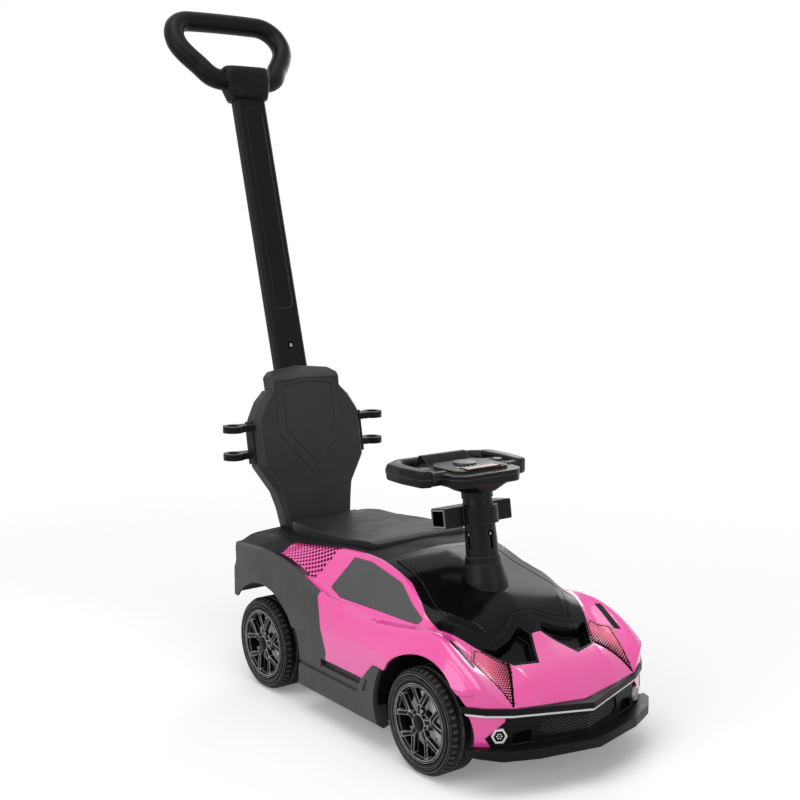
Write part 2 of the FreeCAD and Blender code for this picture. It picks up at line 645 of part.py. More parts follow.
rail = front_prism(rail_half, backrest_split, backrest_back, backrest_radii)
rail = rail.cut(front_prism(shrunk(rail_half, 4), backrest_split, backrest_back - 3.5, backrest_radii))
socket_side = [(backrest_split, 30), (44, 36), (58, 200), (56, 207), (backrest_back, 207),
               (backrest_back, head_bottom), (backrest_split, head_bottom)]
socket = side_prism(socket_side, 0, 30, [0, 6, 3, 2, 0, 0, 0])
rail = on_backrest(rail.fuse(socket)).cut(deck_top)
rail = joined(biggest(rail))
pole_space = on_pole(pole_bar(-0.15, pole_bottom, 400))
nodes["backrest_rear"] = rail.cut(pole_space)
nodes["backrest_front"] = biggest(cushion.cut(pole_space))

lug_x = 116.5
lug_y = 288.0
lug_heights = (288.0, 326.0)
lug_base = on_backrest(box(88, 92, backrest_split, backrest_back - 1, 90, 149))
lugs = [lug_base]
for lug_z in lug_heights:
    arm = box(86, lug_x, lug_y - 9, lug_y + 9, lug_z - lug_thickness / 2, lug_z + lug_thickness / 2)
    ring = rod((lug_x, lug_y, lug_z - lug_thickness / 2), (0, 0, 1), lug_outer_radius, lug_thickness)
    lugs.append(arm.fuse(ring))
lug = fuse_all(lugs)
lug = lug.cut(rod((lug_x, lug_y, 200), (0, 0, 1), lug_bore_radius, 200))
lug = biggest(lug.cut(on_backrest(box(0, 88, -20, 60, 0, 240))))
nodes["guard_lugs_left"] = lug
nodes["guard_lugs_right"] = mirrored(lug)


def pan_screw(head_radius, shank_radius, length):
    """Pan-head screw pointing along +Y with its head at y < 0, cross recess in the head."""
    head = Part.makeCylinder(head_radius, 2.0, vec(0, -2, 0), vec(0, 1, 0))
    shank = Part.makeCylinder(shank_radius, length, vec(0, 0, 0), vec(0, 1, 0))
    cross = box(-head_radius * 0.6, head_radius * 0.6, -2.5, -1.2, -0.5, 0.5)
    cross = cross.fuse(box(-0.5, 0.5, -2.5, -1.2, -head_radius * 0.6, head_radius * 0.6))
    return head.fuse(shank).cut(cross)


# Parent handle: hollow pole, yoke and the two halves of the looped grip.
pole = pole_bar(0, pole_bottom, pole_top).cut(pole_bar(3.0, pole_bottom - 1, pole_top + 1))
panel = front_prism([(-14, 6), (14, 6), (14, 302), (-14, 302)], -5, 1.2, 8)
screw_place = -48.8
screw_pocket = Part.makeCylinder(6.0, 8, vec(0, -6, screw_place), vec(0, 1, 0))
screw_boss = Part.makeCylinder(8.0, 8.5, vec(0, 1.0, screw_place), vec(0, 1, 0))
pole = pole.cut(panel).fuse(screw_boss).cut(screw_pocket)
pole = pole.cut(Part.makeCylinder(2.0, 20, vec(0, 0, screw_place), vec(0, 1, 0)))
nodes["push_pole"] = on_pole(biggest(pole))
pole_screw = pan_screw(4.4, 1.95, 7.0).translated(vec(0, 2.0, screw_place))
nodes["pole_screw"] = on_pole(pole_screw)

grip_spot = FreeCAD.Placement(vec(0, grip_y, grip_z), FreeCAD.Rotation(vec(1, 0, 0), -grip_lean))


def on_grip(shape):
    placed = shape.copy()
    placed.Placement = grip_spot.multiply(placed.Placement)
    return placed


def loop_tube(corners, corner_radii, radius, place, start_axis):
    """Closed round tube along a rounded outline, starting at the middle of the first side."""
    outline = corner_outline(corners, corner_radii, place)
    start = place(vec((corners[0][0] + corners[-1][0]) / 2, (corners[0][1] + corners[-1][1]) / 2, 0))
    profile = Part.Wire(Part.makeCircle(radius, start, start_axis))
    ordered = outline.OrderedEdges
    reaches = [edge.distToShape(Part.Vertex(start))[0] for edge in ordered]
    split = reaches.index(min(reaches))
    first = ordered[split]
    first_start = first.Vertexes[0].Point
    first_end = first.Vertexes[-1].Point
    after = ordered[(split + 1) % len(ordered)]
    if after.distToShape(Part.Vertex(first_end))[0] > 1e-6:
        first_start, first_end = first_end, first_start
    path = [Part.makeLine(start, first_end)] + ordered[split + 1:] + ordered[:split]
    path.append(Part.makeLine(first_start, start))
    return Part.Wire(path).makePipeShell([profile], True, False)


grip_corners = [(42, 2), (98, 68), (80, 120), (-80, 120), (-98, 68), (-42, 2)]
grip_radii = [30, 34, 30, 30, 34, 30]


def flat_upright(p):
    return vec(p.x, 0, p.y)


def flat_level(p):
    return vec(p.x, p.y, 0)


grip = loop_tube(grip_corners, grip_radii, grip_bar_radius, flat_upright, vec(1, 0, 0))
grip_core = loop_tube(grip_corners, grip_radii, grip_bar_radius - 3.0, flat_upright, vec(1, 0, 0))
grip_shell = grip.cut(grip_core)
nodes["grip_front"] = on_grip(biggest(grip_shell.common(box(-150, 150, -40, 0, -40, 140))))
nodes["grip_rear"] = on_grip(biggest(grip_shell.common(box(-150, 150, 0, 40, -40, 140))))


def yoke_section(half_width, front, back, height):
    points = [(-half_width, front), (half_width, front), (half_width, back), (-half_width, back)]
    return corner_outline(points, 9.0, lambda p: vec(p.x, p.y, height))


yoke_sections = [yoke_section(27.5, -3, 26, 320), yoke_section(29.5, -4, 27, 330),
                 yoke_section(31, -4, 29, 348), yoke_section(29, -1, 27, 364)]
yoke = on_pole(Part.makeLoft(yoke_sections, True, False, False, 3))
yoke = yoke.cut(on_pole(pole_bar(-0.15, 300, pole_top)))
nodes["grip_yoke"] = biggest(yoke.cut(on_grip(grip)))

# Steering column on the hood, with the socketed collar for a guard rail.
column_base = lathe_z([(16, -34), (30, -34), (27, 4), (22.5, 24), (21.8, 25), (21.5, 34), (16, 34)])
column_base = on_column(column_base)
hood_block = lowered(-field_rise - 0.05)
column_base = column_base.cut(hood_block).cut(mirrored(hood_block))
nodes["column_base"] = biggest(column_base)
tube = lathe_z([(14, 20), (15.9, 20), (15.9, 34), (20, 34), (18.6, 73), (18.6, 96), (17.5, 103), (14, 103)])
bush_radius = shaft_radius + running_clearance
bush = lathe_z([(bush_radius, 24), (14.5, 24), (14.5, 29), (bush_radius, 29)])
tube = tube.fuse(bush).fuse(bush.translated(vec(0, 0, 71)))
screw_turns = (0.0, -90.0, 90.0)
screw_height = 61.0
for turn in screw_turns:
    pocket = Part.makeCylinder(4.6, 8, vec(0, -24.5, screw_height), vec(0, 1, 0))
    pocket = pocket.fuse(box(-2.6, 2.6, -24.5, -16.5, screw_height - 19, screw_height))
    pocket.rotate(vec(0, 0, 0), vec(0, 0, 1), turn)
    hole = Part.makeCylinder(1.6, 30, vec(0, -30, screw_height), vec(0, 1, 0))
    hole.rotate(vec(0, 0, 0), vec(0, 0, 1), turn)
    tube = tube.cut(pocket).cut(hole)
nodes["steering_column"] = on_column(biggest(tube))
column_screws = []
for turn in screw_turns:
    screw = pan_screw(3.0, 1.55, 4.0).translated(vec(0, -16.5, screw_height))
    screw.rotate(vec(0, 0, 0), vec(0, 0, 1), turn)
    column_screws.append(on_column(screw))
nodes["column_screws"] = Part.makeCompound(column_screws)
socket_width = 21.0
socket_height = 18.0
socket_depth = 34.0
arm_reach = 51.5
collar = Part.makeCylinder(23.5, 21, vec(0, 0, 73))
collar_arm = front_prism([(-arm_reach, 72), (arm_reach, 72), (arm_reach, 96), (-arm_reach, 96)], 0, 26, 2)
collar = collar.fuse(collar_arm)
for side in (-1, 1):
    mouth = box(min(side * arm_reach, side * (arm_reach - socket_depth)) - 0.5 * (1 - side),
                max(side * arm_reach, side * (arm_reach - socket_depth)) + 0.5 * (1 + side),
                13 - socket_width / 2, 13 + socket_width / 2, 84 - socket_height / 2, 84 + socket_height / 2)
    collar = collar.cut(mouth)
collar = collar.cut(Part.makeCylinder(18.6, 60, vec(0, 0, 60)))
nodes["guard_collar"] = on_column(biggest(collar))

# Steering shaft with its crank and pin, turning in the column and the chassis bearing.
crank_level = -99.5
crank_thick = 6.0
shaft = Part.makeCylinder(shaft_radius, 112 - crank_level, vec(0, 0, crank_level))
crank_outline = [(-6, -6), (6, -6), (6, crank_length + 6), (-6, crank_length + 6)]
crank = plan_prism(crank_outline, crank_level - crank_thick, crank_level, 5.5)
crank_pin = Part.makeCylinder(linkage_pin_radius, 14, vec(0, crank_length, crank_level - crank_thick - 14))
nodes["steering_shaft"] = on_column(fuse_all([shaft, crank, crank_pin]))

# Steering wheel in two shells split at rim height, its rim level at rest, with three buttons in the upper one.
hub_height = 118.0
hub_point = column_spot.multVec(vec(0, 0, hub_height))
rim_level = 15.0
rim_shift = 30.0


def on_wheel(shape):
    return shape.translated(hub_point)


rim_corners = [(56, rim_shift - 52), (75, rim_shift - 14), (75, rim_shift + 40), (54, rim_shift + 54),
               (-54, rim_shift + 54), (-75, rim_shift + 40), (-75, rim_shift - 14), (-56, rim_shift - 52)]
rim_bends = [26, 36, 22, 24, 24, 22, 36, 26]
rim_bar_radius = 9.5
rim_tube = loop_tube(rim_corners, rim_bends, rim_bar_radius, flat_level, vec(1, 0, 0))
rim_tube = biggest(rim_tube.cut(box(-150, 150, -60, rim_shift - 24, -40, 40)))
rim_tube.translate(vec(0, 0, rim_level))
grip_outline = [(64, rim_shift - 34), (82, rim_shift - 28), (86, rim_shift + 8), (84, rim_shift + 38),
                (72, rim_shift + 50), (64, rim_shift + 40), (67, rim_shift + 4)]
hand_grip = plan_prism(grip_outline, rim_level - 10, rim_level + 10, [5, 7, 14, 10, 8, 6, 14])
flat_edges = [edge for edge in hand_grip.Edges if edge.BoundBox.ZLength < 0.01]
hand_grip = hand_grip.makeFillet(4.0, flat_edges)
spoke_boss = rod((46, 4, rim_level - 1), (1, 0, 0), 8.5, 21)
wheel_sides = fuse_all([rim_tube, hand_grip, mirrored(hand_grip), spoke_boss, mirrored(spoke_boss)])
pad_outline = [(-73, 12), (-54, 8), (-52, -20), (-40, -31), (40, -31), (52, -20), (54, 8), (73, 12), (73, 44),
               (48, 48), (38, 62), (-38, 62), (-48, 48), (-73, 44)]
pad_radii = [0, 6, 14, 18, 18, 14, 6, 0, 0, 8, 8, 8, 8, 0]
pad_low = plan_prism(pad_outline, rim_level - 9, rim_level, pad_radii)
pad_high = plan_prism(pad_outline, rim_level, rim_level + 5, pad_radii)
boss_outline = [(-40, -16), (40, -16), (42, 30), (28, 46), (-28, 46), (-42, 30)]
pad_high = pad_high.fuse(plan_prism(boss_outline, rim_level, rim_level + 8, 9))
hood_side = [(46, rim_level), (50, rim_level + 6), (62, rim_level + 15), (68, rim_level + 15), (76, rim_level)]
dial_hood = side_prism(hood_side, -34, 34, [0, 0, 3, 3, 0])


def bowl_section(half_width, front, back, corner, height):
    points = [(-half_width, front), (half_width, front), (half_width, back), (-half_width, back)]
    return corner_outline(points, corner, lambda p: vec(p.x, p.y, height))


bowl_foot = bowl_section(25, -20, 26, 18, -5)
bowl = Part.makeLoft([bowl_foot, bowl_section(49, -28, 52, 18, rim_level - 5)], True, True)
hub = on_column(Part.makeCylinder(19, 18, vec(0, 0, 103.5)))
hub.translate(hub_point * -1)
lower = wheel_sides.common(box(-150, 150, -150, 150, rim_level - 30, rim_level))
lower = fuse_all([lower, pad_low, bowl, hub])
shaft_seat = on_column(Part.makeCylinder(shaft_radius, 30, vec(0, 0, 82)))
nodes["steering_wheel_lower"] = biggest(on_wheel(lower).cut(shaft_seat))
upper = wheel_sides.common(box(-150, 150, -150, 150, rim_level, rim_level + 30))
upper = fuse_all([upper, pad_high, dial_hood])
button_gap = 0.4
button_places = {"horn_button": (0, 22, 14.0, 8.0), "left_button": (57, 28, 6.5, 5.0),
                 "right_button": (-57, 28, 6.5, 5.0)}
for name, (x, y, radius, height) in button_places.items():
    upper = upper.cut(Part.makeCylinder(radius + button_gap, 20, vec(x, y, rim_level + 1.2)))
    stem_low = rim_level + 1.2 + button_travel + 0.4
    button = Part.makeCylinder(radius, rim_level + height + 2.6 - stem_low, vec(x, y, stem_low))
    crown = [edge for edge in button.Edges if abs(edge.BoundBox.ZMin - button.BoundBox.ZMax) < 0.01]
    nodes[name] = on_wheel(button.makeFillet(1.2, crown))
nodes["steering_wheel_upper"] = on_wheel(biggest(upper))

# Steering linkage: a knuckle on each kingpin and the tie rod between them.
arm_low = 55.0
arm_high = 61.0
rod_low = 64.0
rod_high = 69.0
knuckle = rod((kingpin_x, axle_front_y, fork_low - fork_thickness + 0.5), (0, 0, 1), kingpin_radius,
              fork_high - fork_low + 2 * fork_thickness - 1)
barrel_low = wheel_radius - knuckle_half_height
barrel = rod((kingpin_x, axle_front_y, barrel_low), (0, 0, 1), 9.0, 2 * knuckle_half_height)
stub = rod((kingpin_x, axle_front_y, wheel_radius), (1, 0, 0), axle_radius, 33.5)
arm_y = axle_front_y + knuckle_arm_back
arm_outline = [(kingpin_x - 6, axle_front_y), (kingpin_x + 6, axle_front_y), (kingpin_x + 6, arm_y + 6),
               (kingpin_x - 6, arm_y + 6)]
steer_arm = plan_prism(arm_outline, arm_low, arm_high, [0, 0, 5.5, 5.5])
steer_pin = rod((kingpin_x, arm_y, arm_low), (0, 0, 1), linkage_pin_radius, 17.5)
left_knuckle = fuse_all([knuckle, barrel, stub, steer_arm, steer_pin])
nodes["knuckle_left"] = left_knuckle
nodes["knuckle_right"] = mirrored(left_knuckle)


def slot(x, y, half_length, radius):
    """Rounded slot across the tie rod, long in Y."""
    points = [(x - radius, y - half_length - radius), (x + radius, y - half_length - radius),
              (x + radius, y + half_length + radius), (x - radius, y + half_length + radius)]
    return plan_prism(points, rod_low - 2, rod_high + 2, radius - 0.05)


crank_y = column_spot.multVec(vec(0, crank_length, crank_level - crank_thick - 8)).y
bar = plan_prism([(-kingpin_x - 7, arm_y - 7), (kingpin_x + 7, arm_y - 7), (kingpin_x + 7, arm_y + 5),
                  (-kingpin_x - 7, arm_y + 5)], rod_low, rod_high, 5)
tongue_outline = [(-9, arm_y), (9, arm_y), (9, crank_y + 9), (-9, crank_y + 9)]
tongue = plan_prism(tongue_outline, rod_low, rod_high, [0, 0, 6, 6])
tie = bar.fuse(tongue)
hole_radius = linkage_pin_radius + linkage_play
for x in (-kingpin_x, kingpin_x):
    tie = tie.cut(slot(x, arm_y - 0.5, 0.8, hole_radius - 0.3))
tie = tie.cut(slot(0, crank_y - 0.8, 2.0, hole_radius))
nodes["tie_rod"] = biggest(tie.removeSplitter())

# Rear axle held in the chassis blocks.
nodes["rear_axle"] = rod((-wheel_face_x + 3.5, axle_rear_y, wheel_radius), (1, 0, 0), axle_radius,
                         2 * wheel_face_x - 7)

# Wheels: tyre with tread, five-spoke rim and a drilled disc behind the spokes.
tyre_bead = 44.0
tyre_profile = [(5, tyre_bead), (2, 46.5), (0, 51), (2.5, 57), (8, wheel_radius), (15, wheel_radius),
                (15.5, 58), (17.5, 58), (18, wheel_radius), (28, wheel_radius), (28.5, 58), (30.5, 58),
                (31, wheel_radius), (38, wheel_radius), (43.5, 57), (44.6, 54.6), (44.0, 54.2), (45, 53.4),
                (wheel_width, 51), (45.2, 48.8), (44.6, 48.5), (44, 46.5), (41, tyre_bead)]
tread_blocks = 48
tyre = lathe_x(tyre_profile)
notches = []
for index in range(tread_blocks):
    for start, end in ((-1, 9), (37, wheel_width + 1)):
        notch = box(start, end, -0.8, 0.8, 58.0, 62)
        notch.rotate(vec(0, 0, 0), vec(1, 0, 0), 360.0 * index / tread_blocks)
        notches.append(notch)
tyre = tyre.cut(Part.makeCompound(notches))
rim_bore = axle_radius + running_clearance
rim_seat = tyre_bead - 0.2
rim = lathe_x([(5, 39), (5, rim_seat), (41, rim_seat), (42, 44.4), (44.5, 44.4), (44.5, 41.5), (41, 39)])
hub_core = lathe_x([(18, rim_bore), (18, 11.5), (38, 11.5), (38, 10), (43.5, 10), (45, 7), (45, 0), (43, 0),
                    (43, rim_bore)])
spokes = []
for index in range(5):
    stem = side_prism([(-3.4, 8), (3.4, 8), (2.7, 21), (-2.7, 21)], 36, 43)
    right_arm = side_prism([(-2.4, 20), (2.6, 18), (15.4, 38.4), (11.0, 41)], 36, 42.5)
    left_arm = side_prism([(2.4, 20), (-2.6, 18), (-15.4, 38.4), (-11.0, 41)], 36, 42.5)
    for piece in (stem, right_arm, left_arm):
        piece.rotate(vec(0, 0, 0), vec(1, 0, 0), 72.0 * index)
        spokes.append(piece)
rim = fuse_all([rim, hub_core] + spokes)
disc = lathe_x([(26, 11.5), (26, 33), (29, 33), (29, 11.5)])
for index in range(10):
    for reach, offset in ((28.5, 0.0), (22.5, 18.0)):
        angle = math.radians(36.0 * index + offset)
        disc = disc.cut(rod((20, reach * math.cos(angle), reach * math.sin(angle)), (1, 0, 0), 1.8, 15))


def wheel_at(shape, y, side):
    placed = shape.copy() if side > 0 else mirrored(shape)
    placed.translate(vec(side * (wheel_face_x - wheel_width), y, wheel_radius))
    return placed


corners = {"front_left": (axle_front_y, 1), "front_right": (axle_front_y, -1), "rear_left": (axle_rear_y, 1),
           "rear_right": (axle_rear_y, -1)}
for corner_name, (y, side) in corners.items():
    nodes["tyre_" + corner_name] = wheel_at(tyre, y, side)
    nodes["rim_" + corner_name] = wheel_at(rim, y, side)
    nodes["disc_" + corner_name] = wheel_at(disc, y, side)

# The row frame has its origin at the bottom centre of the whole object.
whole = FreeCAD.BoundBox()
for shape in nodes.values():
    whole.add(shape.BoundBox)
shift = vec(-(whole.XMin + whole.XMax) / 2, -(whole.YMin + whole.YMax) / 2, -whole.ZMin)
print("size", round(whole.XLength, 2), round(whole.YLength, 2), round(whole.ZLength, 2), "shift", shift)
os.makedirs("parts", exist_ok=True)
for name, shape in nodes.items():
    print(name, len(shape.Solids), round(shape.Volume), shape.isValid())
    shape.translated(shift).exportStep("parts/" + name + ".step")
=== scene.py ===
import math

import bmesh
import bpy
from mathutils import Matrix, Vector


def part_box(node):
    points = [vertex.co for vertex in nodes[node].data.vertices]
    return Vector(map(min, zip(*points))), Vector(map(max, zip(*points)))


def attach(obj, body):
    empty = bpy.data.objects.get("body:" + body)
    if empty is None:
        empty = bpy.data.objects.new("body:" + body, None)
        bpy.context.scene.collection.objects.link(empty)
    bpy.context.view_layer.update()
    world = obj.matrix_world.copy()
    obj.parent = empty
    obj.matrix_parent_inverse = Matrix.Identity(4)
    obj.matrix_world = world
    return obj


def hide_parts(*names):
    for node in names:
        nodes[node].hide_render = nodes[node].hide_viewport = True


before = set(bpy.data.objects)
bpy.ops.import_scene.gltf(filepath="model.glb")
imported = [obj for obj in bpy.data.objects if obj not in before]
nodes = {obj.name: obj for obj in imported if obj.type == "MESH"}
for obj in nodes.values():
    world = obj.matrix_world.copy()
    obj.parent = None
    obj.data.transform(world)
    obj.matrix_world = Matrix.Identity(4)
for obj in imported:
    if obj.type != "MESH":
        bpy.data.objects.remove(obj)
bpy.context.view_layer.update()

# Studio: a pale paper floor under a white backdrop, with soft boxes above, at both sides and in front.
# The floor keeps the shadow of the object and turns white away from it.
scene = bpy.context.scene
scene.view_settings.view_transform = "Standard"


def feed(tree, node, inputs):
    """Sets a node's inputs, by name or number, to plain values, sockets or the first output of a node."""
    for name, value in inputs.items():
        source = value.outputs[0] if isinstance(value, bpy.types.Node) else value
        if isinstance(source, bpy.types.NodeSocket):
            tree.links.new(source, node.inputs[name])
        else:
            node.inputs[name].default_value = source


def add_node(tree, kind, inputs=None, **settings):
    """New node with its settings and its inputs."""
    made = tree.nodes.new(kind)
    for name, value in settings.items():
        setattr(made, name, value)
    feed(tree, made, inputs or {})
    return made


def calculate(tree, operation, *values):
    """Result of a maths node fed with sockets and plain numbers in order."""
    return add_node(tree, "ShaderNodeMath", dict(enumerate(values)), operation=operation).outputs[0]


def background_rays(tree):
    """Value that is 1 for rays that see the backdrop straight, mirrored or through glass."""
    seen = add_node(tree, "ShaderNodeLightPath").outputs
    mirrored = calculate(tree, "MAXIMUM", seen["Is Camera Ray"], seen["Is Glossy Ray"])
    return calculate(tree, "MAXIMUM", mirrored, seen["Is Transmission Ray"])


def shader_mix(tree, factor, first, second):
    return add_node(tree, "ShaderNodeMixShader", {"Fac": factor, 1: first, 2: second})


white = (1.0, 1.0, 1.0, 1.0)
world = bpy.data.worlds.new("studio_white")
scene.world = world
world.use_nodes = True
sky = world.node_tree
sky_low = add_node(sky, "ShaderNodeBackground", {"Color": white, "Strength": 0.3})
sky_white = add_node(sky, "ShaderNodeBackground", {"Color": white, "Strength": 1.0})
sky_shown = shader_mix(sky, background_rays(sky), sky_low, sky_white)
feed(sky, sky.nodes["World Output"], {"Surface": sky_shown})


def new_finish(name):
    """New material with its tree and its shader."""
    material = bpy.data.materials.new(name)
    material.use_nodes = True
    return material, material.node_tree, material.node_tree.nodes["Principled BSDF"]


def object_place(tree):
    return add_node(tree, "ShaderNodeTexCoord").outputs["Object"]


def noise(tree, place, scale):
    inputs = {"Vector": place, "Scale": scale, "Detail": 2.0}
    return add_node(tree, "ShaderNodeTexNoise", inputs).outputs["Fac"]


def two_tones(tree, factor, dark, light, low=0.3, high=0.7, middle=None):
    """Colour between two tones, following a factor, with a place and a tone between them where given."""
    ramp = add_node(tree, "ShaderNodeValToRGB", {"Fac": factor})
    marks = ramp.color_ramp.elements
    marks[0].position = low
    marks[0].color = (*dark, 1.0)
    marks[1].position = high
    marks[1].color = (*light, 1.0)
    if middle:
        middle_place, middle_tone = middle
        marks.new(middle_place).color = (*middle_tone, 1.0)
    return ramp.outputs["Color"]


floor_half = 6.0
shadow_reach = 0.62
white_reach = 1.35


def floor_paper():
    """Pale paper with a little glow of its own, fading to pure white at a distance."""
    material, tree, paper = new_finish("floor_paper")
    place = object_place(tree)
    fibre = two_tones(tree, noise(tree, place, 3.0), (0.86, 0.86, 0.865), (0.88, 0.88, 0.88), 0.0, 1.0)
    feed(tree, paper, {"Base Color": fibre, "Roughness": 0.9, "Specular IOR Level": 0.0})
    glow = add_node(tree, "ShaderNodeEmission", {"Color": white, "Strength": 0.2})
    lit = add_node(tree, "ShaderNodeAddShader", {0: paper, 1: glow})
    pure = add_node(tree, "ShaderNodeEmission", {"Color": white, "Strength": 1.0})
    away = add_node(tree, "ShaderNodeVectorMath", {0: place}, operation="LENGTH").outputs["Value"]
    reaches = {"Value": away, "From Min": shadow_reach, "From Max": white_reach}
    fade = add_node(tree, "ShaderNodeMapRange", reaches, interpolation_type="SMOOTHSTEP")
    shown = shader_mix(tree, fade, lit, pure)
    whole = shader_mix(tree, background_rays(tree), paper, shown)
    feed(tree, tree.nodes["Material Output"], {"Surface": whole})
    return material


floor_corners = [(-floor_half, -floor_half, 0), (floor_half, -floor_half, 0), (floor_half, floor_half, 0),
                 (-floor_half, floor_half, 0)]
floor_mesh = bpy.data.meshes.new("floor")
floor_mesh.from_pydata(floor_corners, [], [(0, 1, 2, 3)])
floor_mesh.materials.append(floor_paper())
floor = bpy.data.objects.new("floor", floor_mesh)
scene.collection.objects.link(floor)
lamp_target = Vector((0.0, -0.1, 0.2))


def soft_lamp(name, place, size, power):
    """Square soft box at a place, turned towards the middle of the object."""
    lamp = bpy.data.lights.new(name, "AREA")
    lamp.size = size
    lamp.energy = power
    holder = bpy.data.objects.new(name, lamp)
    holder.location = place
    holder.rotation_euler = (lamp_target - Vector(place)).to_track_quat("-Z", "Y").to_euler()
    scene.collection.objects.link(holder)


soft_lamp("lamp_above", (-0.7, -0.4, 3.0), 2.4, 50.0)
soft_lamp("lamp_left", (-3.0, -0.4, 1.5), 2.4, 36.0)
soft_lamp("lamp_front", (0.6, -3.2, 1.4), 1.8, 14.0)
soft_lamp("lamp_right", (2.5, 1.5, 1.5), 1.6, 24.0)

camera_data = bpy.data.cameras.new("camera")
camera_data.sensor_width = 36.0
camera_data.lens = 57.726
camera = bpy.data.objects.new("camera", camera_data)
camera_turn = 0.642849
camera_dip = 0.141640
camera_place = Vector((-0.97415, -1.348649, 0.61375))
level = math.cos(camera_dip)
back = Vector((-math.sin(camera_turn) * level, -math.cos(camera_turn) * level, math.sin(camera_dip)))
right = Vector((math.cos(camera_turn), -math.sin(camera_turn), 0.0))
stand = Matrix((right, back.cross(right), back)).transposed().to_4x4()
stand.translation = camera_place
camera.matrix_world = stand
scene.collection.objects.link(camera)
scene.camera = camera

# Front fairing: nose, wings and doors in one glossy pink injection moulding, clipped to the chassis tray.
# The recess between the door and the rear haunch carries painted shade: the pink is painted black there.


def sized_tree(name, sizes):
    """New tree with named inputs for its sizes, the sockets that bring them, and its outlet."""
    made = bpy.data.node_groups.new(name, "GeometryNodeTree")
    for label, kind in sizes:
        made.interface.new_socket(label, in_out="INPUT", socket_type="NodeSocket" + kind)
    made.interface.new_socket("Geometry", in_out="OUTPUT", socket_type="NodeSocketGeometry")
    return made, add_node(made, "NodeGroupInput").outputs, add_node(made, "NodeGroupOutput")


weld_reach = 0.00002


def soft_faces_tree():
    """Tree that joins loose triangles and shades them smooth up to an edge angle."""
    made, size, outlet = sized_tree("soft_faces", (("Geometry", "Geometry"), ("Edge Angle", "Float")))
    loose = {"Geometry": size["Geometry"], "Distance": weld_reach}
    weld = add_node(made, "GeometryNodeMergeByDistance", loose)
    all_soft = {"Geometry": weld, "Shade Smooth": True}
    smooth = add_node(made, "GeometryNodeSetShadeSmooth", all_soft, domain="FACE")
    angle = add_node(made, "GeometryNodeInputMeshEdgeAngle").outputs["Unsigned Angle"]
    limits = {0: angle, 1: size["Edge Angle"]}
    gentle = add_node(made, "FunctionNodeCompare", limits, data_type="FLOAT", operation="LESS_THAN")
    some_soft = {"Geometry": smooth, "Shade Smooth": gentle}
    edges = add_node(made, "GeometryNodeSetShadeSmooth", some_soft, domain="EDGE")
    feed(made, outlet, {"Geometry": edges})
    return made


soft_faces = soft_faces_tree()


def dress(names, material, edge_angle=0.5):
    """Gives CAD nodes a material and smooth shading between their edges."""
    for name in names:
        piece = nodes[name]
        piece.data.materials.clear()
        piece.data.materials.append(material)
        smoothing = piece.modifiers.new("soft_faces", "NODES")
        smoothing.node_group = soft_faces
        smoothing[soft_faces.interface.items_tree["Edge Angle"].identifier] = edge_angle


def between(tree, factor, low, high, first=0.3, last=0.7):
    """Number between two limits, following a factor."""
    limits = {"Value": factor, "From Min": first, "From Max": last, "To Min": low, "To Max": high}
    return add_node(tree, "ShaderNodeMapRange", limits).outputs["Result"]


def colour_mix(tree, factor, colour, tone):
    """Colour that turns into a tone."""
    inputs = {"Factor": factor, 6: colour, 7: (*tone, 1.0)}
    return add_node(tree, "ShaderNodeMix", inputs, data_type="RGBA").outputs[2]


def plastic_finish(name, dark, light, rough, grain, depth, painted_edge_tone=None, edge_radius=0.001,
                   painted_edge_span=(0.82, 0.98), coat=0.0, specular=0.5, metal=0.0, mask=None, tone_drift=9.0,
                   gloss_drift=40.0):
    """Moulded plastic: slow drift in tone and gloss, fine grain in relief, rounded edges.
    A tone painted along the edges, where one is given, is a painted highlight where it is paler than the
    surface.

    A mask is a function of the tree and the place, with the tone and shine that show where it is 1.
    Each mask used here paints shade."""
    material, tree, shader = new_finish(name)
    place = object_place(tree)
    colour = two_tones(tree, noise(tree, place, tone_drift), dark, light)
    rounded = add_node(tree, "ShaderNodeBevel", {"Radius": edge_radius}, samples=4)
    # Painted edge tone: colour laid where the rounded normal parts from the true one, a painted highlight
    # where pale.
    if painted_edge_tone:
        flat = add_node(tree, "ShaderNodeNewGeometry").outputs["Normal"]
        agree = add_node(tree, "ShaderNodeVectorMath", {0: flat, 1: rounded}, operation="DOT_PRODUCT")
        painted_edge_share = between(tree, agree.outputs["Value"], 1.0, 0.0, *painted_edge_span)
        uneven = between(tree, noise(tree, place, 90.0), 0.5, 1.0)
        colour = colour_mix(tree, calculate(tree, "MULTIPLY", painted_edge_share, uneven), colour, painted_edge_tone)
    feed(tree, shader, {"Specular IOR Level": specular, "Coat Weight": coat, "Coat Roughness": 0.04,
                        "Metallic": metal})
    if mask:
        zone, zone_tone, zone_specular = mask
        shown = zone(tree, place)
        colour = colour_mix(tree, shown, colour, zone_tone)
        shine = between(tree, shown, specular, zone_specular, 0.0, 1.0)
        feed(tree, shader, {"Specular IOR Level": shine})
    gloss = between(tree, noise(tree, place, gloss_drift), *rough)
    relief = add_node(tree, "ShaderNodeBump", {
        "Strength": 1.0, "Distance": depth, "Height": noise(tree, place, grain), "Normal": rounded})
    feed(tree, shader, {"Base Color": colour, "Roughness": gloss, "Normal": relief})
    return material


def parts_of(tree, place):
    """X, Y and Z of a place, by name."""
    return add_node(tree, "ShaderNodeSeparateXYZ", {0: place}).outputs


recess_reach = 0.1278
recess_slope = 0.62
recess_start = -0.1365


def recess_shade_zone(tree, place):
    """1 on the outboard side behind a line that leans back with height."""
    parts = parts_of(tree, place)
    line = calculate(tree, "MULTIPLY_ADD", parts["Z"], recess_slope, recess_start)
    outboard = calculate(tree, "GREATER_THAN", calculate(tree, "ABSOLUTE", parts["X"]), recess_reach)
    behind = calculate(tree, "GREATER_THAN", parts["Y"], line)
    return calculate(tree, "MULTIPLY", outboard, behind)


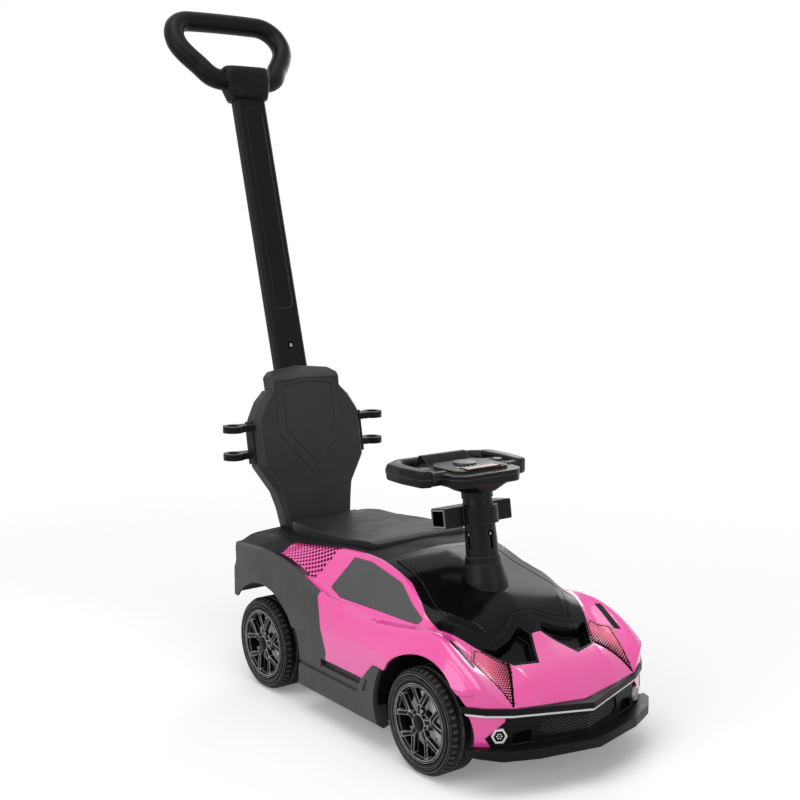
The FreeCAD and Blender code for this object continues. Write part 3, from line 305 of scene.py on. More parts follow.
pink = {"dark": (0.80, 0.046, 0.325), "light": (0.84, 0.056, 0.355), "rough": (0.26, 0.30), "grain": 150.0,
        "depth": 0.000006, "edge_radius": 0.0014, "coat": 1.0, "tone_drift": 3.0, "gloss_drift": 5.0}
pink_gloss = plastic_finish("pink_gloss", **pink)
# Painted shade: black laid on the pink in the recess between door and haunch, where shade falls.
pink_recess_shade = plastic_finish("pink_gloss_recess_shade", mask=(recess_shade_zone, (0.004, 0.004, 0.004), 0.1), **pink)
dress(["front_fairing"], pink_recess_shade)

# Side windows: smoked-grey matt inserts snapped flush into the doors.
# They are moulded with a fine grain and carry no glazing.
window_grey = plastic_finish(
    "window_grey", (0.062, 0.063, 0.065), (0.074, 0.075, 0.077), rough=(0.42, 0.55), grain=1500.0,
    depth=0.00006, specular=0.3)
dress(["side_window_left", "side_window_right"], window_grey)

# Quarter vents: pink moulded triangles clipped in behind the doors, with rows of hexagon holes.
# The holes are black dots of painted shade, shrinking away from the upper front corner.
dress(["quarter_vents"], pink_gloss)
# Near-black for real black print, beads, seams and bezel, and as painted shade in holes, keyholes and
# countersinks.
black_and_painted_hole_shade = plastic_finish(
    "black_and_painted_hole_shade", (0.0012, 0.0012, 0.0012), (0.0024, 0.0024, 0.0024), rough=(0.6, 0.8), grain=900.0,
    depth=0.00004, specular=0.03)


def finish_tree(made, size, outlet, shape):
    """Ends a tree: instances made real and the material set."""
    real = add_node(made, "GeometryNodeRealizeInstances", {"Geometry": shape})
    paint = add_node(made, "GeometryNodeSetMaterial", {"Geometry": real, "Material": size["Material"]})
    feed(made, outlet, {"Geometry": paint})


def point_grid(made, wide, high, cell_wide, cell_high):
    """Level grid of points with as many whole cells as a field holds."""
    columns = calculate(made, "FLOOR", calculate(made, "DIVIDE", wide, cell_wide))
    rows = calculate(made, "FLOOR", calculate(made, "DIVIDE", high, cell_high))
    return add_node(made, "GeometryNodeMeshGrid", {
        "Size X": calculate(made, "MULTIPLY", columns, cell_wide),
        "Size Y": calculate(made, "MULTIPLY", rows, cell_high),
        "Vertices X": calculate(made, "ADD", columns, 1.0),
        "Vertices Y": calculate(made, "ADD", rows, 1.0)})


def ray_down(made, surface):
    """Hits of a ray straight down from each point onto a surface, and the points that miss it."""
    target = add_node(made, "GeometryNodeObjectInfo", {"Object": surface}, transform_space="RELATIVE")
    ray = add_node(made, "GeometryNodeRaycast", {
        "Target Geometry": target.outputs["Geometry"], "Ray Direction": (0.0, 0.0, -1.0), "Ray Length": 1.0})
    missed = add_node(made, "FunctionNodeBooleanMath", {0: ray.outputs["Is Hit"]}, operation="NOT")
    return ray.outputs, missed


def kept(made, shape, label, kind, value):
    """Stores a value on each point, and gives the shape and the value read back."""
    inputs = {"Geometry": shape, "Name": label, "Value": value}
    store = add_node(made, "GeometryNodeStoreNamedAttribute", inputs, data_type=kind, domain="POINT")
    read = add_node(made, "GeometryNodeInputNamedAttribute", {"Name": label}, data_type=kind)
    return store, read.outputs["Attribute"]


row_share = 0.866
least_dot = 0.1
dot_swell = 0.6


def dot_field_tree():
    """Tree that lays staggered hexagon dots on the surface below, shrinking one way from a dense point."""
    made, size, outlet = sized_tree("dot_field", (
        ("Surface", "Object"), ("Centre", "Vector"), ("Turn", "Float"), ("Width", "Float"),
        ("Length", "Float"), ("Pitch", "Float"), ("Dot Radius", "Float"), ("Dot Height", "Float"),
        ("Dense Point", "Vector"), ("Fade Way", "Vector"), ("Fade", "Float"), ("Material", "Material")))
    pitch = size["Pitch"]
    row_pitch = calculate(made, "MULTIPLY", pitch, row_share)
    grid = point_grid(made, size["Width"], size["Length"], pitch, row_pitch)
    start = parts_of(made, add_node(made, "GeometryNodeInputPosition"))
    lifted = calculate(made, "ADD", start["Y"], 1.0)
    row = calculate(made, "ROUND", calculate(made, "DIVIDE", lifted, row_pitch))
    half_pitch = calculate(made, "MULTIPLY", pitch, 0.5)
    stagger = calculate(made, "MULTIPLY", calculate(made, "MODULO", row, 2.0), half_pitch)
    offset = add_node(made, "ShaderNodeCombineXYZ", {"X": stagger})
    staggered = add_node(made, "GeometryNodeSetPosition", {"Geometry": grid, "Offset": offset})
    turned = add_node(made, "ShaderNodeCombineXYZ", {"Z": size["Turn"]})
    laid = add_node(made, "GeometryNodeTransform", {
        "Geometry": staggered, "Translation": size["Centre"], "Rotation": turned})
    ray, missed = ray_down(made, size["Surface"])
    ends = {0: ray["Hit Position"], 1: size["Dense Point"]}
    apart = add_node(made, "ShaderNodeVectorMath", ends, operation="SUBTRACT")
    far = add_node(made, "ShaderNodeVectorMath", {0: apart, 1: size["Fade Way"]}, operation="DOT_PRODUCT")
    faded = calculate(made, "DIVIDE", far.outputs["Value"], size["Fade"])
    share = calculate(made, "SUBTRACT", 1.0, faded)
    limits = {0: share, 1: least_dot}
    tiny = add_node(made, "FunctionNodeCompare", limits, data_type="FLOAT", operation="LESS_THAN")
    drop = add_node(made, "FunctionNodeBooleanMath", {0: missed, 1: tiny}, operation="OR")
    full = calculate(made, "MINIMUM", calculate(made, "MAXIMUM", share, 0.01), 1.0)
    spread = calculate(made, "POWER", full, dot_swell)
    aim = add_node(made, "FunctionNodeAlignRotationToVector", {"Vector": ray["Hit Normal"]}, axis="Z")
    shape, spread_back = kept(made, laid, "dot_size", "FLOAT", spread)
    shape, aim_back = kept(made, shape, "dot_aim", "QUATERNION", aim)
    shape, drop_back = kept(made, shape, "dot_drop", "BOOLEAN", drop)
    seat = add_node(made, "GeometryNodeSetPosition", {"Geometry": shape, "Position": ray["Hit Position"]})
    dropped = {"Geometry": seat, "Selection": drop_back}
    thin = add_node(made, "GeometryNodeDeleteGeometry", dropped, domain="POINT", mode="ALL")
    points = add_node(made, "GeometryNodeMeshToPoints", {"Mesh": thin})
    dot = add_node(made, "GeometryNodeMeshCylinder", {
        "Vertices": 6, "Radius": size["Dot Radius"], "Depth": size["Dot Height"]})
    scale = add_node(made, "ShaderNodeCombineXYZ", {"X": spread_back, "Y": spread_back, "Z": 1.0})
    dots = add_node(made, "GeometryNodeInstanceOnPoints", {
        "Points": points, "Instance": dot, "Rotation": aim_back, "Scale": scale})
    finish_tree(made, size, outlet, dots)
    return made


dot_field = dot_field_tree()


def add_piece(name, mesh, body, smooth):
    """Piece from a finished mesh, riding on its body."""
    if smooth:
        for face in mesh.polygons:
            face.use_smooth = True
    piece = bpy.data.objects.new(name, mesh)
    scene.collection.objects.link(piece)
    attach(piece, body)
    return piece


def grown_piece(name, tree, sizes, body, path=(), closed=False, move=None, smooth=False):
    """Plain mesh piece from a tree run once with the given sizes, on a path of points where it has one."""
    start = bpy.data.meshes.new(name + "_path")
    count = len(path)
    legs = [(index, (index + 1) % count) for index in range(count if closed else max(count - 1, 0))]
    start.from_pydata(path, legs, [])
    seedling = bpy.data.objects.new(name + "_path", start)
    scene.collection.objects.link(seedling)
    growth = seedling.modifiers.new("growth", "NODES")
    growth.node_group = tree
    for label, value in sizes.items():
        growth[tree.interface.items_tree[label].identifier] = value
    bpy.context.view_layer.update()
    grown = seedling.evaluated_get(bpy.context.evaluated_depsgraph_get())
    mesh = bpy.data.meshes.new_from_object(grown)
    mesh.name = name
    bpy.data.objects.remove(seedling)
    if move:
        mesh.transform(move)
    return add_piece(name, mesh, body, smooth)


sides = (("left", 1.0), ("right", -1.0))
above = 0.4
# Vent holes: black hexagon dots of painted shade laid on the vent surface.
for side_name, side in sides:
    grown_piece("vent_holes_" + side_name, dot_field, {
        "Surface": nodes["quarter_vents"], "Centre": (side * 0.113, -0.008, above), "Turn": side * 0.1,
        "Width": 0.06, "Length": 0.13, "Pitch": 0.0046, "Dot Radius": 0.0021, "Dot Height": 0.0005,
        "Dense Point": (side * 0.106, -0.050, 0.192), "Fade Way": (side * 0.3, 0.95, 0.0), "Fade": 0.13,
        "Material": black_and_painted_hole_shade}, "body")

# Headlight panels: printed film under a clear gloss coat, red-pink with a fade of black and pearl dots.
# A thin black bead seals each panel in the fairing, thicker on its inner edge.
film_tip = -0.372
film_top = -0.30


def lamp_film():
    """Print that fades from salmon at the tip to red-pink at the top."""
    material, tree, shader = new_finish("lamp_film")
    place = object_place(tree)
    fade = between(tree, parts_of(tree, place)["Y"], 0.0, 1.0, film_tip, film_top)
    mixed = calculate(tree, "MULTIPLY_ADD", noise(tree, place, 40.0), 0.2, fade)
    colour = two_tones(tree, mixed, (0.80, 0.13, 0.28), (0.78, 0.035, 0.19), 0.1, 1.0,
                       middle=(0.55, (0.84, 0.10, 0.22)))
    gloss = between(tree, noise(tree, place, 70.0), 0.2, 0.3)
    relief = add_node(tree, "ShaderNodeBump", {
        "Strength": 1.0, "Distance": 0.00002, "Height": noise(tree, place, 500.0)})
    feed(tree, shader, {"Base Color": colour, "Roughness": gloss, "Normal": relief, "Coat Weight": 0.8})
    return material


def round_bar(made, path, radius, sides_round, capped=False):
    """Round bar swept along a curve."""
    circle = {"Resolution": sides_round, "Radius": radius}
    section = add_node(made, "GeometryNodeCurvePrimitiveCircle", circle)
    swept = {"Curve": path, "Profile Curve": section, "Fill Caps": capped}
    return add_node(made, "GeometryNodeCurveToMesh", swept)


def surface_line_tree():
    """Tree that lays a thin round bead along a path, dropped straight down onto a surface."""
    made, size, outlet = sized_tree("surface_line", (
        ("Path", "Geometry"), ("Surface", "Object"), ("Spacing", "Float"), ("Bead Radius", "Float"),
        ("Material", "Material")))
    drawn = add_node(made, "GeometryNodeMeshToCurve", {"Mesh": size["Path"]})
    spaced = {"Curve": drawn, "Length": size["Spacing"]}
    even = add_node(made, "GeometryNodeResampleCurve", spaced, mode="LENGTH")
    ray, missed = ray_down(made, size["Surface"])
    shape, missed_back = kept(made, even, "line_missed", "BOOLEAN", missed)
    seat = add_node(made, "GeometryNodeSetPosition", {"Geometry": shape, "Position": ray["Hit Position"]})
    dropped = {"Geometry": seat, "Selection": missed_back}
    trimmed = add_node(made, "GeometryNodeDeleteGeometry", dropped, domain="POINT")
    finish_tree(made, size, outlet, round_bar(made, trimmed, size["Bead Radius"], 6, capped=True))
    return made


surface_line = surface_line_tree()
pearl = plastic_finish(
    "pearl_print", (0.80, 0.26, 0.36), (0.86, 0.36, 0.44), rough=(0.3, 0.4), grain=800.0, depth=0.00002)
dress(["headlight_left", "headlight_right"], lamp_film())
across = Vector((0.81, 0.58))
lamp_outline = ((0.0872, -0.3020), (0.0660, -0.3355), (0.0913, -0.3722), (0.1048, -0.3218))
for side_name, side in sides:
    surface = nodes["headlight_" + side_name]
    outline = [(side * x, y, above) for x, y in lamp_outline]
    inner_edge = outline[1:3]
    print_field = {"Surface": surface, "Centre": (side * 0.086, -0.338, above), "Turn": side * 0.5,
                   "Width": 0.06, "Length": 0.09, "Pitch": 0.0028}
    grown_piece("headlight_dots_" + side_name, dot_field, {
        **print_field, "Dot Radius": 0.00142, "Dot Height": 0.0005, "Material": black_and_painted_hole_shade, "Fade": 0.028,
        "Dense Point": (side * 0.067, -0.338, 0.0), "Fade Way": (side * across.x, across.y, 0.0)},
        "body")
    grown_piece("headlight_pearls_" + side_name, dot_field, {
        **print_field, "Dot Radius": 0.0009, "Dot Height": 0.0003, "Material": pearl, "Fade": 0.12,
        "Dense Point": (side * 0.100, -0.322, 0.0), "Fade Way": (-side * across.x, -across.y, 0.0)},
        "body")
    grown_piece("headlight_border_" + side_name, surface_line, {
        "Surface": surface, "Spacing": 0.003, "Bead Radius": 0.0013, "Material": black_and_painted_hole_shade},
        "body", inner_edge)
    grown_piece("headlight_bead_" + side_name, surface_line, {
        "Surface": surface, "Spacing": 0.004, "Bead Radius": 0.0006, "Material": black_and_painted_hole_shade},
        "body", outline, closed=True)

# Wing slits: narrow blue-black gloss inserts along the wing tops, pushed in from above.
# They only look like vents and are closed below.
slit_black = plastic_finish(
    "slit_black", (0.003, 0.004, 0.009), (0.005, 0.007, 0.015), rough=(0.14, 0.22), grain=600.0,
    depth=0.00003, specular=0.1)
dress(["wing_slits"], slit_black)

# Hood: gloss black moulding with a raised field and two scoops, screwed to the fairing from below.
# A fine bead follows the edge of the field.
# Its edges carry a pale grey painted highlight.
hood_black = plastic_finish(
    "hood_black", (0.0025, 0.0025, 0.0027), (0.0040, 0.0040, 0.0042), rough=(0.10, 0.16), grain=500.0,
    depth=0.00002, painted_edge_tone=(0.045, 0.045, 0.045), edge_radius=0.0014, specular=0.08)
dress(["hood_panel"], hood_black, edge_angle=0.35)
field_edge = ((0.069, -0.147), (0.069, -0.190), (0.084, -0.236), (0.0865, -0.260), (0.073, -0.283),
              (0.060, -0.298), (0.040, -0.293), (0.015, -0.279))
field_path = [(x, y, above) for x, y in field_edge] + [(-x, y, above) for x, y in reversed(field_edge)]
grown_piece("hood_bead", surface_line, {
    "Surface": nodes["hood_panel"], "Spacing": 0.005, "Bead Radius": 0.0004, "Material": black_and_painted_hole_shade},
    "body", field_path)

# Rear body: seat surround, deck, haunches and tail in one dark grey moulding, screwed to the tray.
# It has a fine spark texture; the deck between the haunches carries painted shade, darker and less shiny.
deck_half = 0.1355
deck_low = 0.160


def deck_shade_zone(tree, place):
    """1 on the level top between the haunches."""
    parts = parts_of(tree, place)
    inboard = calculate(tree, "LESS_THAN", calculate(tree, "ABSOLUTE", parts["X"]), deck_half)
    high = calculate(tree, "GREATER_THAN", parts["Z"], deck_low)
    return calculate(tree, "MULTIPLY", inboard, high)


# The pale grey tone on the edges is a painted highlight, on the rear body and the skirts.
spark = {"dark": (0.041, 0.042, 0.042), "light": (0.052, 0.053, 0.053), "rough": (0.46, 0.6),
         "grain": 2200.0, "depth": 0.00008, "painted_edge_tone": (0.13, 0.13, 0.128), "edge_radius": 0.0013,
         "specular": 0.3}
spark_grey = plastic_finish("spark_grey", **spark)
# Painted shade: the level deck top is painted darker, with less shine, than the rest of the moulding.
spark_deck_shade = plastic_finish("spark_grey_deck_shade", mask=(deck_shade_zone, (0.006, 0.006, 0.0062), 0.08), **spark)
dress(["rear_body"], spark_deck_shade)

# Bumper: black moulding with lip, mask, ducts and splitter, clipped under the nose.
# Its edges carry a painted highlight, a little paler.
bumper_black = plastic_finish(
    "bumper_black", (0.0040, 0.0040, 0.0042), (0.0060, 0.0060, 0.0063), rough=(0.3, 0.4), grain=900.0,
    depth=0.00003, painted_edge_tone=(0.03, 0.03, 0.03), edge_radius=0.0012, specular=0.1)
dress(["front_bumper"], bumper_black)

# Light strip and fog lamps: white plastic pressed into the bumper.
# Each lamp is a hexagon ring round a black well, with a ring of small white lenses.
lamp_white = plastic_finish(
    "lamp_white", (0.74, 0.73, 0.71), (0.80, 0.79, 0.77), rough=(0.2, 0.3), grain=700.0, depth=0.00003,
    coat=0.3)
dress(["light_strip", "fog_lamps"], lamp_white)
lamp_reach = 0.104
lamp_front = -0.363269
lamp_height = 0.064
lamp_turn = math.radians(29.3)
well_radius = 0.0064
well_bore = 0.0006
well_floor = 0.0015
lens_base = 0.0033


def upright(made, shape):
    """Turns a level shape to stand and face the front."""
    return add_node(made, "GeometryNodeTransform", {"Geometry": shape, "Rotation": (math.pi / 2, 0.0, 0.0)})


def stud_ring_tree():
    """Tree that sets round studs on a ring about the Y axis, standing towards the front."""
    made, size, outlet = sized_tree("stud_ring", (
        ("Count", "Int"), ("Ring Radius", "Float"), ("Stud Radius", "Float"), ("Stud Height", "Float"),
        ("Sides", "Int"), ("Material", "Material")))
    circle = {"Vertices": size["Count"], "Radius": size["Ring Radius"]}
    ring = add_node(made, "GeometryNodeMeshCircle", circle)
    stud = add_node(made, "GeometryNodeMeshCylinder", {
        "Vertices": size["Sides"], "Radius": size["Stud Radius"], "Depth": size["Stud Height"]})
    studs = add_node(made, "GeometryNodeInstanceOnPoints", {"Points": ring, "Instance": stud})
    finish_tree(made, size, outlet, upright(made, studs))
    return made


stud_ring = stud_ring_tree()


def spot(place, turn, axis="Z"):
    """Place and turn for a shape that is made at the origin."""
    return Matrix.Translation(place) @ Matrix.Rotation(turn, 4, axis)


def shift(x, y, z):
    return Matrix.Translation((x, y, z))


def plain_piece(name, shape, move, material, body, smooth=False):
    """Piece from a finished bmesh, moved to its place."""
    shape.transform(move)
    mesh = bpy.data.meshes.new(name)
    shape.to_mesh(mesh)
    shape.free()
    mesh.materials.append(material)
    return add_piece(name, mesh, body, smooth)


def round_outline(sides_round, radius):
    """Corners of a regular outline in the upright plane, as pairs of X and Z."""
    angles = [2 * math.pi * step / sides_round for step in range(sides_round)]
    return [(radius * math.cos(angle), radius * math.sin(angle)) for angle in angles]


def skin(shape, rings):
    """Faces that join each ring of points to the next."""
    for ring, following in zip(rings, rings[1:]):
        for step in range(len(ring)):
            after = (step + 1) % len(ring)
            shape.faces.new((ring[step], ring[after], following[after], following[step]))


def flat_ring(outer, inner, thickness):
    """Flat ring between two upright outlines, from the plane y = 0 towards the front."""
    shape = bmesh.new()
    rings = []
    for outline, front in ((outer, 0.0), (outer, -thickness), (inner, -thickness), (inner, 0.0)):
        rings.append([shape.verts.new((x, front, z)) for x, z in outline])
    skin(shape, rings + rings[:1])
    bmesh.ops.recalc_face_normals(shape, faces=shape.faces)
    return shape


for side_name, side in sides:
    lamp_spot = spot((side * lamp_reach, lamp_front, lamp_height), side * lamp_turn)
    well = flat_ring(round_outline(6, well_radius), round_outline(6, well_bore), lens_base - well_floor)
    plain_piece("fog_lamp_well_" + side_name, well, lamp_spot @ shift(0.0, -well_floor, 0.0), black_and_painted_hole_shade,
                "body")
    grown_piece("fog_lamp_lenses_" + side_name, stud_ring, {
        "Count": 6, "Ring Radius": 0.0027, "Stud Radius": 0.0009, "Stud Height": 0.0010, "Sides": 8,
        "Material": lamp_white}, "body", move=lamp_spot @ shift(0.0, -lens_base, 0.0))

# Bumper corner panels: pink film panels with an arrow notch towards the lamp.
# They are stuck flush on the bumper's ends.
dress(["bumper_corners"], pink_gloss)

# Grille: fine diamond mesh in black plastic with a dark sheet behind it, fixed to the back of the mask.
# It is made in two straight halves that meet at the nose.
lattice_black = plastic_finish(
    "lattice_black", (0.055, 0.055, 0.056), (0.072, 0.072, 0.073), rough=(0.3, 0.45), grain=800.0,
    depth=0.00004, specular=0.3)


def diamond_mesh_tree():
    """Tree that lays staggered diamond frames over a flat field, standing upright."""
    made, size, outlet = sized_tree("diamond_mesh", (
        ("Width", "Float"), ("Height", "Float"), ("Cell Width", "Float"), ("Cell Height", "Float"),
        ("Bar", "Float"), ("Material", "Material")))
    wide = size["Cell Width"]
    high = size["Cell Height"]
    both = add_node(made, "GeometryNodeJoinGeometry")
    for share in (0.0, 0.5):
        grid = point_grid(made, size["Width"], size["Height"], wide, high)
        step = add_node(made, "ShaderNodeCombineXYZ", {
            "X": calculate(made, "MULTIPLY", wide, share), "Y": calculate(made, "MULTIPLY", high, share)})
        moved = add_node(made, "GeometryNodeTransform", {"Geometry": grid, "Translation": step})
        feed(made, both, {"Geometry": moved})
    rhomb = add_node(made, "GeometryNodeCurvePrimitiveCircle", {"Resolution": 4, "Radius": 0.5})
    cell = add_node(made, "ShaderNodeCombineXYZ", {"X": wide, "Y": high, "Z": 1.0})
    shaped = add_node(made, "GeometryNodeTransform", {"Geometry": rhomb, "Scale": cell})
    bars = round_bar(made, shaped, size["Bar"], 4)
    cells = add_node(made, "GeometryNodeInstanceOnPoints", {"Points": both, "Instance": bars})
    finish_tree(made, size, outlet, upright(made, cells))
    return made


diamond_mesh = diamond_mesh_tree()
dress(["grille_mesh"], black_and_painted_hole_shade)
nose_sweep = 0.027
nose_half = 0.094
grille_slant = math.atan2(nose_sweep, nose_half)
lattice_setback = 0.0079
grille_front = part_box("grille_mesh")[0].y + lattice_setback
grille_reach = 0.0300
grille_height = 0.0640
for side_name, side in sides:
    grown_piece("grille_lattice_" + side_name, diamond_mesh, {
        "Width": 0.056, "Height": 0.021, "Cell Width": 0.0056, "Cell Height": 0.0036, "Bar": 0.0006,
        "Material": lattice_black}, "body",
        move=spot((side * grille_reach, grille_front, grille_height), side * grille_slant))

# Chassis tray, arch liners and storage bin: plain black moulded plastic with a light grain.
# The tray carries everything; liners and bin are screwed to it.
chassis_black = plastic_finish(
    "chassis_black", (0.003, 0.003, 0.003), (0.005, 0.005, 0.005), rough=(0.5, 0.65), grain=1200.0,
    depth=0.00006, specular=0.06)
dress(["chassis_tray", "front_liners", "rear_liners", "storage_bin"], chassis_black)

# Side skirts: dark grey step mouldings with a ledge along the door, clipped along the tray's edge.
# They share the rear body's spark texture.
dress(["side_skirt_left", "side_skirt_right"], spark_grey)

# Seat lid: black moulded cushion with a fine leather-like grain, turning on a steel pin behind.
# The pin is a plain drawn rod.
# The seat's edges carry a painted highlight.
seat_black = plastic_finish(
    "seat_black", (0.0085, 0.0086, 0.0088), (0.0125, 0.0127, 0.0129), rough=(0.38, 0.5), grain=1300.0,
    depth=0.0001, painted_edge_tone=(0.07, 0.07, 0.07), edge_radius=0.0014, specular=0.2)
dress(["seat_lid"], seat_black)
steel_bright = plastic_finish(
    "steel_bright", (0.44, 0.44, 0.45), (0.58, 0.58, 0.59), rough=(0.22, 0.34), grain=700.0, depth=0.00002,
    metal=1.0)
dress(["seat_hinge_pin"], steel_bright)

# Backrest: two grey shells screwed back to back, the front one grooved round its panel.
# Satin black eyes for a guard rail are screwed to each side.
# The backrest's edges carry a painted highlight.
backrest_grey = plastic_finish(
    "backrest_grey", (0.017, 0.0173, 0.0176), (0.024, 0.0244, 0.0248), rough=(0.42, 0.56), grain=1300.0,
    depth=0.0001, painted_edge_tone=(0.085, 0.085, 0.085), edge_radius=0.0014, specular=0.22)
dress(["backrest_front", "backrest_rear"], backrest_grey)
# Satin black with a painted highlight along its edges, for lugs, pole, grip and yoke.
satin_black = plastic_finish(
    "satin_black", (0.0035, 0.0035, 0.0037), (0.0055, 0.0055, 0.0058), rough=(0.30, 0.40), grain=1400.0,
    depth=0.00004, painted_edge_tone=(0.10, 0.10, 0.10), edge_radius=0.0016, specular=0.10)
dress(["guard_lugs_left", "guard_lugs_right"], satin_black)

# Push pole: satin black tube, held in its socket by a chrome screw that sits in a countersink.
# The pole leans back with the backrest.
dress(["push_pole"], satin_black)
screw_chrome = plastic_finish(
    "screw_chrome", (0.34, 0.34, 0.35), (0.46, 0.46, 0.47), rough=(0.14, 0.24), grain=900.0, depth=0.00002,
    metal=1.0)
dress(["pole_screw"], screw_chrome)
pole_spot = spot((0.0, 0.226231, 0.479), math.radians(-15.8), "X")
screw_drop = 0.0488
shade_radius = 0.0056
shade_bore = 0.0026
shade_thick = 0.00025
ring_sides = 24
# Painted shade: a black ring over the rim of the screw head stands for the depth of the countersink.
screw_shade = flat_ring(round_outline(ring_sides, shade_radius), round_outline(ring_sides, shade_bore),
                        shade_thick)
plain_piece("pole_screw_shade", screw_shade, pole_spot @ shift(0.0, 0.0, -screw_drop), black_and_painted_hole_shade,
            "body")

# Grip and yoke: a looped bar of two half shells, closed round the arms of a yoke on the pole's top.
# Both are satin black, and both are rounder here than the solids that they stand for.


def round_loop_tree():
    """Tree that sweeps a round bar along a smooth closed path, with a fine seam outside and inside."""
    made, size, outlet = sized_tree("round_loop", (
        ("Path", "Geometry"), ("Spacing", "Float"), ("Bar Radius", "Float"), ("Seam Radius", "Float"),
        ("Material", "Material"), ("Seam Material", "Material")))
    drawn = add_node(made, "GeometryNodeMeshToCurve", {"Mesh": size["Path"]})
    soft = add_node(made, "GeometryNodeCurveSplineType", {"Curve": drawn}, spline_type="CATMULL_ROM")
    spaced = {"Curve": soft, "Length": size["Spacing"]}
    even = add_node(made, "GeometryNodeResampleCurve", spaced, mode="LENGTH")
    sideways = {0: add_node(made, "GeometryNodeInputTangent"), 1: (0.0, 1.0, 0.0)}
    outward = add_node(made, "ShaderNodeVectorMath", sideways, operation="CROSS_PRODUCT")
    whole = add_node(made, "GeometryNodeJoinGeometry")
    for share, radius, sides_round, finish in ((0.0, "Bar Radius", 28, "Material"),
                                               (1.0, "Seam Radius", 6, "Seam Material"),
                                               (-1.0, "Seam Radius", 6, "Seam Material")):
        reach = {0: outward, "Scale": calculate(made, "MULTIPLY", size["Bar Radius"], share)}
        offset = add_node(made, "ShaderNodeVectorMath", reach, operation="SCALE")
        moved = add_node(made, "GeometryNodeSetPosition", {"Geometry": even, "Offset": offset})
        bar = round_bar(made, moved, size[radius], sides_round)
        paint = add_node(made, "GeometryNodeSetMaterial", {"Geometry": bar, "Material": size[finish]})
        feed(made, whole, {"Geometry": paint})
    feed(made, outlet, {"Geometry": add_node(made, "GeometryNodeRealizeInstances", {"Geometry": whole})})
    return made


grip_spot = spot((0.0, 0.333231, 0.808), math.radians(-35.0), "X")
grip_side = ((0.040, 0.004), (0.067, 0.030), (0.087, 0.062), (0.086, 0.090), (0.069, 0.108), (0.038, 0.1115))
grip_path = [(x, 0.0, z) for x, z in grip_side] + [(-x, 0.0, z) for x, z in reversed(grip_side)]
loop = grown_piece("grip_loop", round_loop_tree(), {
    "Spacing": 0.004, "Bar Radius": 0.0145, "Seam Radius": 0.0003, "Material": satin_black,
    "Seam Material": black_and_painted_hole_shade}, "body", grip_path, closed=True, move=grip_spot, smooth=True)
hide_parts("grip_front", "grip_rear")
yoke_points = 40
yoke_corner = 0.4


def yoke_ring(shape, half_wide, front, back, height):
    """Ring of points on a level rounded rectangle."""
    ring = []
    for step in range(yoke_points):
        angle = 2 * math.pi * step / yoke_points
        x_share = math.copysign(abs(math.cos(angle)) ** yoke_corner, math.cos(angle))
        y_share = math.copysign(abs(math.sin(angle)) ** yoke_corner, math.sin(angle))
        y = (back - front) / 2 * y_share + (back + front) / 2
        ring.append(shape.verts.new((half_wide * x_share, y, height)))
    return ring


# Each ring of the yoke is half its width, its front, its back and its height along the pole.
yoke_rings = ((0.0285, -0.0035, 0.0265, 0.318), (0.0300, -0.0050, 0.0280, 0.322),
              (0.0335, -0.0065, 0.0300, 0.334), (0.0375, -0.0070, 0.0320, 0.350),
              (0.0375, -0.0055, 0.0315, 0.361), (0.0355, -0.0030, 0.0295, 0.3655),
              (0.0320, 0.0005, 0.0260, 0.367))
yoke_block = bmesh.new()
rings = [yoke_ring(yoke_block, *sizes) for sizes in yoke_rings]
skin(yoke_block, rings)
yoke_block.faces.new(rings[0])
yoke_block.faces.new(rings[-1])
bmesh.ops.recalc_face_normals(yoke_block, faces=yoke_block.faces)
yoke = plain_piece("yoke_cover", yoke_block, pole_spot, satin_black, "body", smooth=True)
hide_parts("grip_yoke")

# Steering column: base cone, keyholed tube and socketed collar in satin black, held by chrome screws.
# The screws sit in keyholes drawn as black rings and slots of painted shade.
# The collar's two pale-lipped sockets take a guard rail.
# Its edges carry a painted highlight, also on the steering wheel's shells.
column_black = plastic_finish(
    "column_black", (0.005, 0.005, 0.0052), (0.0075, 0.0075, 0.0078), rough=(0.26, 0.36), grain=1400.0,
    depth=0.00005, painted_edge_tone=(0.13, 0.13, 0.13), edge_radius=0.0014, specular=0.13)
dress(["column_base", "steering_column", "guard_collar"], column_black)
dress(["column_screws"], screw_chrome)
column_spot = spot((0.0, -0.218269, 0.180), math.radians(-9.0), "X")
screw_height = 0.061
pocket_floor = 0.0165
keyhole_radius = 0.0045
keyhole_bore = 0.0018
keyhole_shade_thick = 0.0022
slot_top = 0.0035
slot_bottom = 0.0188
slot_wide = 0.0050
slot_thick = 0.0012
# Painted shade: each keyhole gets a black ring round its screw and a black slot below it.
for screw_name, way in (("front", 0.0), ("right", -1.0), ("left", 1.0)):
    keyhole_shade = flat_ring(round_outline(ring_sides, keyhole_radius), round_outline(ring_sides, keyhole_bore),
                       keyhole_shade_thick)
    slot_size = Matrix.Diagonal((slot_wide, slot_thick, slot_bottom - slot_top, 1.0))
    slot_middle = shift(0.0, -slot_thick / 2, -(slot_top + slot_bottom) / 2)
    bmesh.ops.create_cube(keyhole_shade, size=1.0, matrix=slot_middle @ slot_size)
    faced = column_spot @ Matrix.Rotation(way * math.pi / 2, 4, "Z")
    plain_piece("keyhole_lining_" + screw_name, keyhole_shade, faced @ shift(0.0, -pocket_floor, screw_height),
                black_and_painted_hole_shade, "body")
lip_grey = plastic_finish(
    "lip_grey", (0.20, 0.20, 0.202), (0.26, 0.26, 0.262), rough=(0.35, 0.45), grain=1200.0, depth=0.00004,
    specular=0.3)
socket_reach = 0.0515
socket_back = 0.013
socket_height = 0.084
lip_thick = 0.0006


def square_outline(half_wide, half_high):
    """Corners of a rectangle in the upright plane, as pairs of X and Z."""
    low = [(-half_wide, -half_high), (half_wide, -half_high)]
    high = [(half_wide, half_high), (-half_wide, half_high)]
    return low + high


